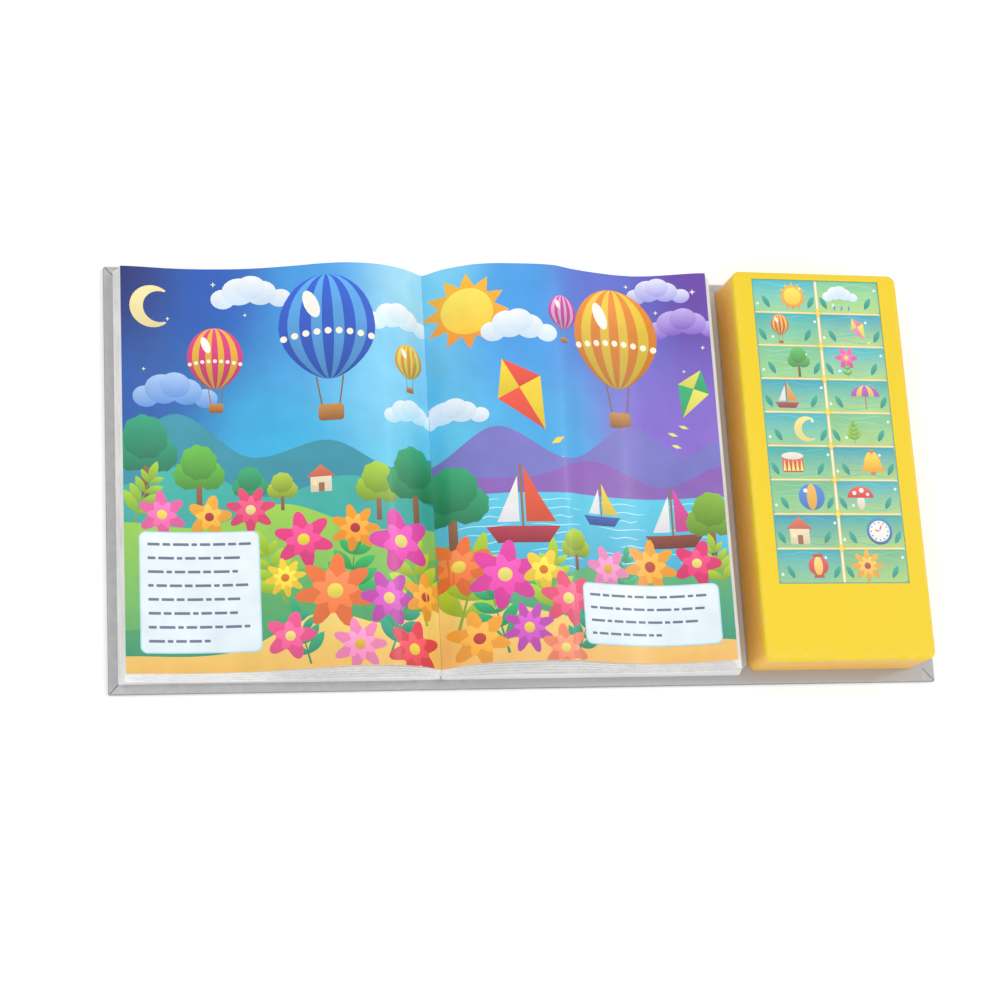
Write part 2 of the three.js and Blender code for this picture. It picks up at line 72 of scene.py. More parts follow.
MM = 0.001
GUTTER_X = (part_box("left_pages")[1].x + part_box("right_pages")[0].x) / 2
WELD_GAP = 0.01 * MM
INK_LIFT = 0.03 * MM
LEAF_AIR = 0.1 * MM
LARGE_BALLOON = 20 * MM
NOISE_SPAN = (0.3, 0.7)
BUMP_STRENGTH = 0.35
COAT_ROUGH = 0.12
SCATTER_REACH = (1.2 * MM, 0.8 * MM, 0.4 * MM)
CAMERA_PLACE = (-0.32957, -0.34375, 1.22157)
CAMERA_RIGHT = (0.97087, -0.05807, 0.23246)
CAMERA_UP = (-0.00459, 0.96550, 0.26035)
CAMERA_LENS = 78.41
CAMERA_SENSOR = 36


def length(name, description, millimetres, **more):
    return bpy.props.FloatProperty(
        name=name, description=description, default=millimetres * MM, unit="LENGTH", **more)


def paint(name, description, colour):
    return bpy.props.FloatVectorProperty(
        name=name, description=description, default=colour, size=3, subtype="COLOR")


class BookSizes(bpy.types.PropertyGroup):
    """Sizes of the made pieces."""

    leaf_count: bpy.props.IntProperty(
        name="Open leaves", description="Leaves that stand open on each side", default=5, min=2)
    leaf_thickness: length("Leaf thickness", "Thickness of one card leaf", 0.6)
    leaf_step: length("Leaf step", "Width of one step of a leaf's mesh", 2)
    left_rise: length(
        "Left rise", "How far the left-hand leaves bow above the closed ones", 14)
    right_rise: length(
        "Right rise", "How far the right-hand leaves bow above the closed ones", 18)
    draw_in: length("Draw-in", "How far each right-hand leaf ends short of the one below", 1.2)
    foot_step: length("Foot step", "How far each leaf's foot lies behind the one below", 0.8)
    wrap_radius: length("Wrap radius", "Radius of the paper round a board's edge", 0.9)
    ink_step: length(
        "Ink step", "Height of one printed layer over the next", 0.004, precision=6)


class BookColours(bpy.types.PropertyGroup):
    """Colours of the finishes, in linear light."""

    wrap: paint("Wrapping paper", "Grey paper round the boards", (0.462, 0.462, 0.474))
    endpaper: paint("Endpaper", "Pale paper inside the boards", (0.80, 0.795, 0.79))
    leaf: paint("Leaf edge", "Cut edge of the leaves", (0.93, 0.925, 0.915))
    # Painted shade: this darker grey goes on the boards' sides and undersides, which turn away
    # from the light.
    side_shade_wrap: paint(
        "Wrap with painted side shade", "Darker grey round the boards' edges and below", (0.27, 0.27, 0.28))
    cap: paint("Module plate", "Yellow plastic of the upper plate", (0.9, 0.64, 0.003))
    tray: paint("Module tray", "Orange plastic of the tray", (0.98, 0.53, 0.06))


def sizes():
    return bpy.context.scene.book_sizes


def colours():
    return bpy.context.scene.book_colours


# Selection and mesh helpers


def deselect_all():
    if bpy.context.object and bpy.context.object.mode != "OBJECT":
        bpy.ops.object.mode_set(mode="OBJECT")
    bpy.ops.object.select_all(action="DESELECT")


def pick(obj):
    deselect_all()
    obj.select_set(True)
    bpy.context.view_layer.objects.active = obj


def settle(obj):
    """Put an object's place into its mesh."""
    pick(obj)
    bpy.ops.object.transform_apply(location=True, rotation=True, scale=True)
    return obj


def smooth(obj, degrees=35):
    pick(obj)
    bpy.ops.object.shade_smooth_by_angle(angle=math.radians(degrees))
    return obj


def apply_step(obj, name, kind, **settings):
    """Give an object a modifier with the given settings and apply it."""
    pick(obj)
    step = obj.modifiers.new(name, kind)
    for key, value in settings.items():
        setattr(step, key, value)
    bpy.ops.object.modifier_apply(modifier=step.name)
    return obj


def even_shading(obj):
    """Smooth a moulded or wrapped form so that its wide faces stay flat."""
    return apply_step(smooth(obj), "Even shading", "WEIGHTED_NORMAL", keep_sharp=True, weight=90)


def bevel_edges(obj, width):
    return apply_step(
        obj, "Softened edges", "BEVEL", width=width, segments=2, limit_method="ANGLE",
        angle_limit=math.radians(35), use_clamp_overlap=True)


def slice_across(obj, places):
    """Cut a mesh at the given places along X, so that it can bend there."""
    pick(obj)
    bpy.ops.object.mode_set(mode="EDIT")
    for place in places:
        bpy.ops.mesh.select_all(action="SELECT")
        bpy.ops.mesh.bisect(plane_co=(place, 0, 0), plane_no=(1, 0, 0))
    bpy.ops.object.mode_set(mode="OBJECT")


def join(objects, name):
    deselect_all()
    for obj in objects:
        obj.select_set(True)
    bpy.context.view_layer.objects.active = objects[0]
    if len(objects) > 1:
        bpy.ops.object.join()
    whole = bpy.context.object
    whole.name = name
    whole.data.name = name
    return whole


def block(name, low, high):
    """A box between two corners, in metres."""
    deselect_all()
    middle = (Vector(low) + Vector(high)) / 2
    bpy.ops.mesh.primitive_cube_add(size=1, location=middle)
    obj = bpy.context.object
    obj.scale = Vector(high) - Vector(low)
    obj.name = name
    return settle(obj)


def node_copy(node, name):
    """A welded copy of a frame node's mesh, with its flat faces made whole."""
    obj = bpy.data.objects.new(name, NODES[node].data.copy())
    bpy.context.scene.collection.objects.link(obj)
    obj.data.materials.clear()
    pick(obj)
    bpy.ops.object.mode_set(mode="EDIT")
    bpy.ops.mesh.select_all(action="SELECT")
    bpy.ops.mesh.remove_doubles(threshold=WELD_GAP)
    bpy.ops.mesh.dissolve_limited(angle_limit=math.radians(2))
    bpy.ops.mesh.customdata_custom_splitnormals_clear()
    bpy.ops.object.mode_set(mode="OBJECT")
    return obj


def give(obj, material):
    obj.data.materials.clear()
    obj.data.materials.append(material)
    return obj


# Node helpers


class Tree:
    """Adds nodes to a tree and links them in one line."""

    def __init__(self, tree):
        self.tree = tree
        self.column = 0

    def add(self, kind, inputs=(), **settings):
        node = self.tree.nodes.new(kind)
        node.location = (200 * self.column, 0)
        self.column += 1
        for key, value in settings.items():
            setattr(node, key, value)
        for key, value in dict(inputs).items():
            if isinstance(value, bpy.types.NodeSocket):
                self.tree.links.new(value, node.inputs[key])
            else:
                node.inputs[key].default_value = value
        return node

    def link(self, source, target):
        self.tree.links.new(source, target)

    def maths(self, operation, first, second=0.0, clamp=False):
        return self.add(
            "ShaderNodeMath", {0: first, 1: second}, operation=operation, use_clamp=clamp,
        ).outputs[0]

    def mix(self, share, first, second):
        node = self.add("ShaderNodeMix", data_type="RGBA")
        for key, value in ((0, share), (6, first), (7, second)):
            if isinstance(value, bpy.types.NodeSocket):
                self.link(value, node.inputs[key])
            elif key == 0:
                node.inputs[key].default_value = value
            else:
                node.inputs[key].default_value = (*value[:3], 1)
        return node.outputs[2]

    def span(self, value, low, high, to_low=0.0, to_high=1.0):
        return self.add(
            "ShaderNodeMapRange",
            {0: value, 1: low, 2: high, 3: to_low, 4: to_high}, clamp=True,
        ).outputs[0]


def new_group(name, inputs, outputs):
    group = bpy.data.node_groups.new(name, "ShaderNodeTree")
    for label, kind, value in inputs:
        socket = group.interface.new_socket(label, in_out="INPUT", socket_type=kind)
        socket.default_value = value
    for label, kind in outputs:
        group.interface.new_socket(label, in_out="OUTPUT", socket_type=kind)
    tree = Tree(group)
    return group, tree, tree.add("NodeGroupInput"), tree.add("NodeGroupOutput")


def grain_group():
    """Fine grain and wide mottling of a surface, as two values."""
    found = bpy.data.node_groups.get("surface grain")
    if found:
        return found
    group, tree, given, result = new_group(
        "surface grain",
        [("Vector", "NodeSocketVector", (0, 0, 0)), ("Grain scale", "NodeSocketFloat", 900.0),
         ("Mottle scale", "NodeSocketFloat", 30.0)],
        [("Grain", "NodeSocketFloat"), ("Mottle", "NodeSocketFloat")])
    fine = tree.add("ShaderNodeTexNoise", {
        "Vector": given.outputs[0], "Scale": given.outputs[1], "Detail": 4.0, "Roughness": 0.6})
    wide = tree.add("ShaderNodeTexNoise", {
        "Vector": given.outputs[0], "Scale": given.outputs[2], "Detail": 3.0, "Roughness": 0.55})
    tree.link(fine.outputs[0], result.inputs[0])
    tree.link(wide.outputs[0], result.inputs[1])
    return group


def wear_group():
    """Faint rubbing on raised edges, in patches, as a mask."""
    found = bpy.data.node_groups.get("edge rub")
    if found:
        return found
    group, tree, given, result = new_group(
        "edge rub",
        [("Vector", "NodeSocketVector", (0, 0, 0)), ("Scale", "NodeSocketFloat", 220.0)],
        [("Rub", "NodeSocketFloat")])
    shape = tree.add("ShaderNodeNewGeometry")
    edge = tree.span(shape.outputs["Pointiness"], 0.51, 0.58)
    patch = tree.add("ShaderNodeTexNoise", {
        "Vector": given.outputs[0], "Scale": given.outputs[1], "Detail": 3.0})
    rub = tree.maths("MULTIPLY", edge, tree.span(patch.outputs[0], 0.42, 0.62), clamp=True)
    tree.link(rub, result.inputs[0])
    return group


class Finish:
    """A material with a grain, a mottled colour and a rubbed edge, ready for its own additions."""

    def __init__(self, name, colour, rough, grain, depth, mottle=30.0, tint=0.06, rub=0.0,
                 metal=0.0, coat=0.0, scatter=None):
        self.material = bpy.data.materials.new(name)
        self.material.use_nodes = True
        self.material.diffuse_color = (*colour[:3], 1)
        nodes = self.material.node_tree
        nodes.nodes.clear()
        self.tree = Tree(nodes)
        tree = self.tree
        self.place = tree.add("ShaderNodeTexCoord").outputs["Object"]
        surface = tree.add("ShaderNodeGroup", node_tree=grain_group())
        tree.link(self.place, surface.inputs[0])
        surface.inputs[1].default_value = grain
        surface.inputs[2].default_value = mottle
        self.grain, self.mottle = surface.outputs
        lighter = tuple(min(1.0, c * (1 + tint)) for c in colour[:3])
        darker = tuple(c * (1 - tint) for c in colour[:3])
        self.colour = tree.mix(tree.span(self.mottle, *NOISE_SPAN), darker, lighter)
        if rub:
            worn = tree.add("ShaderNodeGroup", node_tree=wear_group())
            tree.link(self.place, worn.inputs[0])
            pale = tuple(min(1.0, c + (1 - c) * 0.35) for c in colour[:3])
            mask = tree.maths("MULTIPLY", worn.outputs[0], rub)
            self.colour = tree.mix(mask, self.colour, pale)
        self.rough = tree.span(self.grain, *NOISE_SPAN, rough - 0.05, rough + 0.05)
        self.depth = depth
        self.shader = tree.add("ShaderNodeBsdfPrincipled")
        self.shader.inputs["Metallic"].default_value = metal
        self.shader.inputs["Coat Weight"].default_value = coat
        self.shader.inputs["Coat Roughness"].default_value = COAT_ROUGH
        if scatter:
            self.shader.inputs["Subsurface Weight"].default_value = scatter
            self.shader.inputs["Subsurface Radius"].default_value = SCATTER_REACH

    def done(self):
        tree = self.tree
        bump = tree.add("ShaderNodeBump", {
            "Strength": BUMP_STRENGTH, "Distance": self.depth, "Height": self.grain})
        tree.link(self.colour, self.shader.inputs["Base Color"])
        tree.link(self.rough, self.shader.inputs["Roughness"])
        tree.link(bump.outputs[0], self.shader.inputs["Normal"])
        out = tree.add("ShaderNodeOutputMaterial")
        tree.link(self.shader.outputs[0], out.inputs[0])
        return self.material


def made(name, maker):
    """The material of this name, made on its first use."""
    return bpy.data.materials.get(name) or maker()


def wrap_paper():
    return made("wrapping paper", lambda: Finish(
        "wrapping paper", colours().wrap, 0.55, 1500, 0.00004, mottle=9, tint=0.012,
        rub=0.5).done())


# Wrapping paper made darker as painted shade, for the faces that turn away from the light.
def side_shade_paper():
    return made("wrap with painted side shade", lambda: Finish(
        "wrap with painted side shade", colours().side_shade_wrap, 0.5, 1500, 0.00004, mottle=9, tint=0.012,
        rub=0.12).done())


def end_paper():
    return made("endpaper", lambda: Finish(
        "endpaper", colours().endpaper, 0.62, 1100, 0.00003, mottle=9, tint=0.012).done())


def cut_edge():
    """Card seen at its cut edge: pale, with fine lines along the leaf."""
    def maker():
        card = Finish("leaf card", colours().leaf, 0.6, 1300, 0.00003, tint=0.05)
        tree = card.tree
        parts = tree.add("ShaderNodeSeparateXYZ", {0: card.place}).outputs
        lines = tree.add("ShaderNodeTexNoise", {
            "Vector": tree.add("ShaderNodeCombineXYZ", {
                "X": tree.maths("MULTIPLY", parts[0], 0.02),
                "Y": tree.maths("MULTIPLY", parts[1], 0.02), "Z": parts[2]}).outputs[0],
            "Scale": 2600.0, "Detail": 2.0}).outputs[0]
        card.colour = tree.mix(
            tree.span(lines, 0.45, 0.62, 0.0, 0.2), card.colour, (0.55, 0.55, 0.56))
        return card.done()
    return made("leaf card", maker)


def moulded(name, colour, rough=0.42, coat=0.08):
    return made(name, lambda: Finish(
        name, colour, rough, 2200, 0.00002, mottle=9, tint=0.015, rub=0.35, coat=coat,
        scatter=0.04).done())


def printed(name, coat=0.06, rough=0.5):
    """Ink on coated paper: the piece's own colours, with a fine screen and soft sheen."""
    def maker():
        film = Finish(name, (0.5, 0.5, 0.5), rough, 1400, 0.000012, mottle=60, coat=coat)
        tree = film.tree
        ink = tree.add("ShaderNodeAttribute", attribute_name="ink").outputs[0]
        shade = tree.span(film.mottle, 0.25, 0.75, 0.93, 1.07)
        film.colour = tree.add("ShaderNodeVectorMath", {
            0: ink, 1: tree.add("ShaderNodeCombineXYZ", {
                "X": shade, "Y": shade, "Z": shade}).outputs[0]}, operation="MULTIPLY").outputs[0]
        return film.done()
    return made(name, maker)


# Ink: flat coloured shapes that are laid on a printed surface


class Ink:
    """Collects flat shapes, each on a layer of its own, with a colour at every corner."""

    def __init__(self, name):
        self.name = name
        self.shapes = []
        self.frames = []

    def lay(self, outline, colour, lower=None):
        """One shape from its outline in metres; lower is the colour at its foot."""
        deselect_all()
        bpy.ops.mesh.primitive_circle_add(
            vertices=len(outline), radius=1, fill_type="NGON", location=(0, 0, 0))
        obj = bpy.context.object
        mesh = obj.data
        xs, ys = [x for x, _ in outline], [y for _, y in outline]
        edge = (min(xs), max(xs), min(ys), max(ys))
        layer = 1 + max((under for left, right, foot, top, under in self.frames
                         if left < edge[1] and right > edge[0]
                         and foot < edge[3] and top > edge[2]), default=0)
        self.frames.append((*edge, layer))
        depth = INK_LIFT + layer * sizes().ink_step
        for vertex, (x, y) in zip(mesh.vertices, outline):
            vertex.co = (x, y, depth)
        low, high = edge[2], edge[3]
        lower = lower or colour
        attribute = mesh.color_attributes.new("ink", "FLOAT_COLOR", "POINT")
        for index, vertex in enumerate(mesh.vertices):
            share = (vertex.co.y - low) / max(high - low, 1e-9)
            tone = [a * share + b * (1 - share) for a, b in zip(colour, lower)]
            attribute.data[index].color = (*tone, 1)
        self.shapes.append(obj)
        return obj

    def whole(self):
        obj = join(self.shapes, self.name)
        mesh = obj.data
        if sum(face.normal.z for face in mesh.polygons) < 0:
            mesh.flip_normals()
        pick(obj)
        bpy.ops.object.mode_set(mode="EDIT")
        shape = bmesh.from_edit_mesh(mesh)
        for face in shape.faces:
            if face.normal.z < 0:
                face.normal_flip()
        bmesh.update_edit_mesh(mesh)
        bpy.ops.object.mode_set(mode="OBJECT")
        return obj


def ring(x, y, across, up=None, count=32, turn=0.0, wave=0.0, waves=0):
    """A closed outline round a point: an ellipse, or a rosette with so many waves."""
    up = across if up is None else up
    outline = []
    for step in range(count):
        angle = 2 * math.pi * step / count
        swell = 1 + wave * math.cos(waves * angle)
        px = math.cos(angle) * across * swell
        py = math.sin(angle) * up * swell
        outline.append((
            x + px * math.cos(turn) - py * math.sin(turn),
            y + px * math.sin(turn) + py * math.cos(turn)))
    return outline


def star(x, y, far, near, points=4, turn=0.0):
    outline = []
    for step in range(points * 2):
        reach = far if step % 2 == 0 else near
        angle = math.pi * step / points + turn
        outline.append((x + reach * math.cos(angle), y + reach * math.sin(angle)))
    return outline


def bar(x0, y0, x1, y1, radius=0.0):
    if not radius:
        return [(x0, y0), (x1, y0), (x1, y1), (x0, y1)]
    outline = []
    for cx, cy, start in ((x1 - radius, y1 - radius, 0), (x0 + radius, y1 - radius, 90),
                          (x0 + radius, y0 + radius, 180), (x1 - radius, y0 + radius, 270)):
        for step in range(6):
            angle = math.radians(start + 18 * step)
            outline.append((cx + radius * math.cos(angle), cy + radius * math.sin(angle)))
    return outline


def hillside(x0, x1, foot, heights):
    """A band of land from foot up to a rolling line through the given heights."""
    outline = [(x0, foot), (x1, foot)]
    steps = 40
    for step in range(steps, -1, -1):
        share = step / steps
        outline.append((x0 + (x1 - x0) * share, curve(heights, share)))
    return outline


def blade(x, y, length, width, turn):
    """An almond leaf that springs from a point."""
    outline = []
    for step in range(9):
        share = step / 8
        outline.append((share * length, width * math.sin(math.pi * share) ** 0.8))
    for step in range(7, 0, -1):
        share = step / 8
        outline.append((share * length, -width * math.sin(math.pi * share) ** 0.8))
    return [(x + a * math.cos(turn) - b * math.sin(turn),
             y + a * math.sin(turn) + b * math.cos(turn)) for a, b in outline]


def curve(points, at):
    """A smooth line through (place, value) points."""
    if at <= points[0][0]:
        return points[0][1]
    if at >= points[-1][0]:
        return points[-1][1]
    index = next(i for i, (place, _) in enumerate(points) if place >= at)
    (x1, y1), (x2, y2) = points[index - 1], points[index]
    x0, y0 = points[index - 2] if index > 1 else (x1 - (x2 - x1), y1)
    x3, y3 = points[index + 1] if index + 1 < len(points) else (x2 + (x2 - x1), y2)
    slope1, slope2 = (y2 - y0) / (x2 - x0), (y3 - y1) / (x3 - x1)
    width = x2 - x1
    t = (at - x1) / width
    return ((2 * t ** 3 - 3 * t ** 2 + 1) * y1 + (t ** 3 - 2 * t ** 2 + t) * width * slope1
            + (3 * t ** 2 - 2 * t ** 3) * y2 + (t ** 3 - t ** 2) * width * slope2)


class Brush:
    """Draws a motif round its own middle; one unit is half the motif's height."""

    def __init__(self, ink, x, y, size):
        self.ink = ink
        self.x = x
        self.y = y
        self.size = size

    def lay(self, outline, colour, lower=None):
        spots = [(self.x + a * self.size, self.y + b * self.size) for a, b in outline]
        self.ink.lay(spots, colour, lower)

    def part(self, across, up, share):
        """A brush for a smaller motif beside this one's middle."""
        return Brush(self.ink, self.x + across * self.size, self.y + up * self.size,
                     share * self.size)


def dim(colour, share):
    return tuple(c * share for c in colour)


# Motifs


def sparkle(brush, colour):
    brush.lay(star(0, 0, 1, 0.32), colour)


def balloon(brush, colour, second):
    shape = []
    for step in range(36):
        angle = 2 * math.pi * step / 36
        pull = 1 - 0.28 * max(0.0, -math.sin(angle)) ** 2
        shape.append((0.62 * math.cos(angle) * pull, 0.28 + 0.72 * math.sin(angle)))
    for side in (-1, 1):
        brush.lay([(side * 0.16, -0.4), (side * 0.18, -0.4), (side * 0.12, -0.8),
                   (side * 0.1, -0.8)], (0.25, 0.13, 0.05))
    brush.lay(shape, colour, dim(colour, 0.5))
    for share, tone in ((0.82, second), (0.58, colour), (0.34, second), (0.12, colour)):
        brush.lay([(a * share, b) for a, b in shape], tone, dim(tone, 0.5))
    if brush.size > LARGE_BALLOON:
        for step in range(-4, 5):
            brush.lay(ring(0.14 * step, 0.22 - 0.005 * step * step, 0.045, None, 12),
                      (1, 0.93, 0.75))
    brush.lay(ring(-0.2, 0.6, 0.09, 0.2, 16, 0.35), (1, 0.97, 0.9))
    brush.lay(bar(-0.16, -1.0, 0.16, -0.78, 0.05), (0.60, 0.28, 0.06), (0.28, 0.10, 0.03))


def cloud(brush, colour=(0.95, 0.97, 1.0), shade=(0.62, 0.78, 0.93)):
    for across, up, radius in ((-0.95, -0.12, 0.42), (0.98, -0.15, 0.38), (-0.4, 0.15, 0.58),
                               (0.35, 0.08, 0.52), (0.0, 0.3, 0.5)):
        brush.lay(ring(across, up, radius, radius * 0.86, 20), colour, shade)


def rain(brush):
    cloud(brush.part(0, 0.15, 0.9))
    for across in (-0.5, 0, 0.5):
        brush.lay(blade(across, -0.95, 0.4, 0.07, 1.4), (0.1, 0.3, 0.8))


def flower(brush, colour, heart, petals=6, turn=0.0):
    brush.lay(ring(0, 0, 1, None, 60, turn, 0.3, petals), colour, dim(colour, 0.72))
    brush.lay(ring(0, 0, 0.62, None, 48, turn + 0.4, 0.26, petals),
              tuple(min(1, c * 1.3 + 0.05) for c in colour), colour)
    brush.lay(ring(0, 0, 0.26, None, 16), heart, dim(heart, 0.7))


def sprig(brush, colour, turn=math.pi / 2, leaves=4):
    along = Vector((math.cos(turn), math.sin(turn)))
    dark = dim(colour, 0.55)
    side = Vector((-along.y, along.x)) * 0.035
    brush.lay([tuple(-side), tuple(side), tuple(along * 2)], dark)
    for step in range(leaves):
        spot = along * (0.35 + 1.5 * step / leaves)
        reach = 0.9 - 0.12 * step
        for lean in (-0.85, 0.85):
            brush.lay(blade(*spot, reach, reach * 0.2, turn + lean), colour, dark)
    brush.lay(blade(*(along * 1.5), 0.8, 0.15, turn), colour, dark)


def bloom(brush):
    sprig(brush.part(0, -1, 0.5), (0.2, 0.6, 0.1), leaves=2)
    flower(brush.part(0, 0.35, 0.6), (0.95, 0.15, 0.4), (1, 0.85, 0.1))


def tree(brush, colour):
    brush.lay(bar(-0.09, -1, 0.09, 0.1), (0.35, 0.17, 0.08), (0.2, 0.09, 0.05))
    for across, up, radius in ((-0.32, 0.1, 0.45), (0.34, 0.08, 0.44), (0.0, 0.5, 0.55)):
        brush.lay(ring(across, up, radius, None, 30, 0.3, 0.05, 9), colour, dim(colour, 0.45))


def boat(brush, sail, hull):
    brush.lay(bar(-0.03, -0.5, 0.03, 1), (0.3, 0.17, 0.09))
    brush.lay([(0.08, -0.4), (0.8, -0.4), (0.42, 0.25), (0.08, 0.95)], sail, dim(sail, 0.7))
    brush.lay([(-0.08, -0.4), (-0.08, 0.7), (-0.6, -0.4)], (0.95, 0.93, 0.88),
              (0.75, 0.76, 0.8))
    brush.lay([(-0.85, -0.5), (-0.6, -0.9), (0.6, -0.9), (0.9, -0.5)], hull, dim(hull, 0.55))


def kite(brush, colour, second, turn=0.5):
    across = Vector((math.cos(turn), math.sin(turn)))
    along = Vector((-across.y, across.x))
    middle = along * 0.2
    corners = [-along, middle + across * 0.6, along, middle - across * 0.6]
    for quarter in range(4):
        tone = colour if quarter % 2 else second
        brush.lay([tuple(middle), tuple(corners[quarter]), tuple(corners[(quarter + 1) % 4])],
                  tone, dim(tone, 0.75))
    for step in range(3):
        knot = across * 0.14 * (-1) ** step - along * (1.35 + 0.4 * step)
        brush.lay(star(*knot, 0.2, 0.07, 2, turn), second)


def moon(brush, colour):
    outline = []
    for step in range(25):
        angle = math.radians(50 + 260 * step / 24)
        outline.append((math.cos(angle), math.sin(angle)))
    for step in range(23, 0, -1):
        angle = math.radians(62 + 236 * step / 24)
        outline.append((0.34 + 0.74 * math.cos(angle), 0.74 * math.sin(angle)))
    brush.lay(outline, colour, dim(colour, 0.8))


def sun(brush):
    brush.lay(star(0, 0, 1, 0.66, 12), (1.0, 0.55, 0.03), (0.95, 0.3, 0.03))
    brush.lay(ring(0, 0, 0.6, None, 28), (1.0, 0.83, 0.12), (1.0, 0.62, 0.05))


def dome(across, foot, height, steps):
    """Half an ellipse that stands on its flat side."""
    return [(across * math.cos(math.pi * step / steps),
             foot + height * math.sin(math.pi * step / steps)) for step in range(steps + 1)]


def umbrella(brush, colour, second):
    brush.lay(bar(-0.04, -0.8, 0.04, 0.5), (0.4, 0.2, 0.1))
    for share, tone in ((1.0, colour), (0.62, second), (0.24, colour)):
        brush.lay(dome(share, 0.1, 0.75, 16), tone, dim(tone, 0.7))


def drum(brush, colour, second):
    brush.lay(bar(-0.8, -0.7, 0.8, 0.45, 0.15), colour, dim(colour, 0.6))
    for step in range(-2, 3):
        x = step * 0.32
        brush.lay([(x - 0.12, -0.6), (x, 0.3), (x + 0.12, -0.6)], second)
    brush.lay(ring(0, 0.5, 0.82, 0.27, 28), (0.96, 0.93, 0.84), (0.8, 0.76, 0.66))


def bell(brush):
    brush.lay(ring(0, -0.72, 0.2, None, 16), (0.6, 0.25, 0.03))
    side = [(0.95, -0.62), (0.72, -0.3), (0.58, 0.35), (0.3, 0.82)]
    brush.lay(side + [(-a, b) for a, b in reversed(side)], (1.0, 0.75, 0.08),
              (0.85, 0.38, 0.02))
    brush.lay(ring(0, 0.88, 0.16, None, 16), (0.9, 0.2, 0.1))


def ball(brush, colour, second):
    brush.lay(ring(0, 0, 0.88), colour, dim(colour, 0.6))
    brush.lay(ring(0, 0, 0.34, 0.87, 28), second, dim(second, 0.7))
    brush.lay(ring(-0.4, 0.42, 0.14, None, 14), (1, 0.97, 0.93))


def mushroom(brush):
    brush.lay(ring(0, -0.4, 0.3, 0.55, 24), (0.95, 0.9, 0.78), (0.75, 0.64, 0.5))
    brush.lay(dome(1, -0.05, 0.85, 18), (0.92, 0.16, 0.1), (0.65, 0.05, 0.06))
    for across, up, radius in ((-0.45, 0.3, 0.15), (0.1, 0.5, 0.18), (0.55, 0.2, 0.12)):
        brush.lay(ring(across, up, radius, None, 14), (1, 0.95, 0.88))


def house(brush, wall, roof):
    brush.lay(bar(-0.65, -0.85, 0.65, 0.2), wall, dim(wall, 0.75))
    brush.lay([(-0.9, 0.15), (0.9, 0.15), (0, 0.95)], roof, dim(roof, 0.7))
    brush.lay(bar(-0.15, -0.85, 0.2, -0.25, 0.05), (0.35, 0.16, 0.08))
    brush.lay(bar(-0.5, -0.4, -0.25, -0.1), (1, 0.86, 0.35))


def lantern(brush, colour):
    brush.lay(ring(0, 0, 0.68, 0.62, 28), colour, dim(colour, 0.6))
    brush.lay(ring(0, 0, 0.3, 0.62, 24), (1, 0.8, 0.25), (1, 0.5, 0.1))
    for up in (-0.68, 0.68):
        brush.lay(bar(-0.34, up - 0.1, 0.34, up + 0.1, 0.04), (0.5, 0.1, 0.08))


def clock(brush):
    brush.lay(ring(0, 0, 0.88), (0.1, 0.3, 0.6), (0.05, 0.14, 0.35))
    brush.lay(ring(0, 0, 0.7), (0.97, 0.96, 0.9), (0.85, 0.84, 0.8))
    for step in range(12):
        angle = math.pi * step / 6
        brush.lay(ring(0.58 * math.cos(angle), 0.58 * math.sin(angle), 0.05, None, 8),
                  (0.1, 0.1, 0.15))
    for turn, reach in ((1.2, 0.5), (2.9, 0.36)):
        brush.lay(blade(0, 0, reach, 0.05, turn), (0.8, 0.1, 0.1))


def ripple(ink, x0, x1, y, height, width, colour, phase=0.0):
    """A thin waving line."""
    upper, lower = [], []
    steps = 24
    for step in range(steps + 1):
        share = step / steps
        x = x0 + (x1 - x0) * share
        rise = height * math.sin(share * 9 + phase)
        half = width * math.sin(math.pi * share) ** 0.5 / 2 + 1e-6
        upper.append((x, y + rise + half))
        lower.append((x, y + rise - half))
    ink.lay(lower + upper[::-1], colour)


# The landscape on the open leaves. Places are shares of the page: across, then up.

SKY_AND_HIGHLIGHT = {
    "left": [
        (0.0, 1.0, (0.012, 0.02, 0.16)), (0.0, 0.62, (0.02, 0.10, 0.42)),
        (0.3, 0.95, (0.015, 0.10, 0.48)), (0.62, 0.9, (0.05, 0.33, 0.80)),
        # The pale spot at the top of the left page by the gutter is printed sky and painted
        # highlight at once.
        (0.85, 0.75, (0.22, 0.66, 0.93)), (1.0, 0.95, (0.42, 0.80, 0.97)),
        (0.5, 0.5, (0.04, 0.46, 0.78)), (1.0, 0.4, (0.10, 0.60, 0.80)),
        (0.1, 0.2, (0.01, 0.20, 0.34)), (0.8, 0.1, (0.10, 0.50, 0.62))],
    "right": [
        (0.0, 1.0, (0.22, 0.68, 0.93)), (0.0, 0.5, (0.12, 0.58, 0.85)),
        (0.3, 0.9, (0.05, 0.34, 0.82)), (0.62, 0.95, (0.10, 0.14, 0.62)),
        (1.0, 1.0, (0.14, 0.05, 0.38)), (0.4, 0.5, (0.06, 0.42, 0.82)),
        (0.8, 0.55, (0.26, 0.16, 0.66)), (1.0, 0.3, (0.34, 0.12, 0.52)),
        (0.3, 0.1, (0.03, 0.36, 0.52))],
}


# The pages' ground colour: printed sky, with a painted highlight by the left page's gutter.
def sky_and_highlight_colour(side, across, up):
    if up < 0.03:
        return [0.9, 0.6, 0.16]
    total, tone = 0.0, [0.0, 0.0, 0.0]
    for spot_across, spot_up, colour in SKY_AND_HIGHLIGHT[side]:
        gap = (across - spot_across) ** 2 + (up - spot_up) ** 2
        weight = 1 / (gap + 0.02) ** 2
        total += weight
        tone = [a + b * weight for a, b in zip(tone, colour)]
    return [a / total for a in tone]


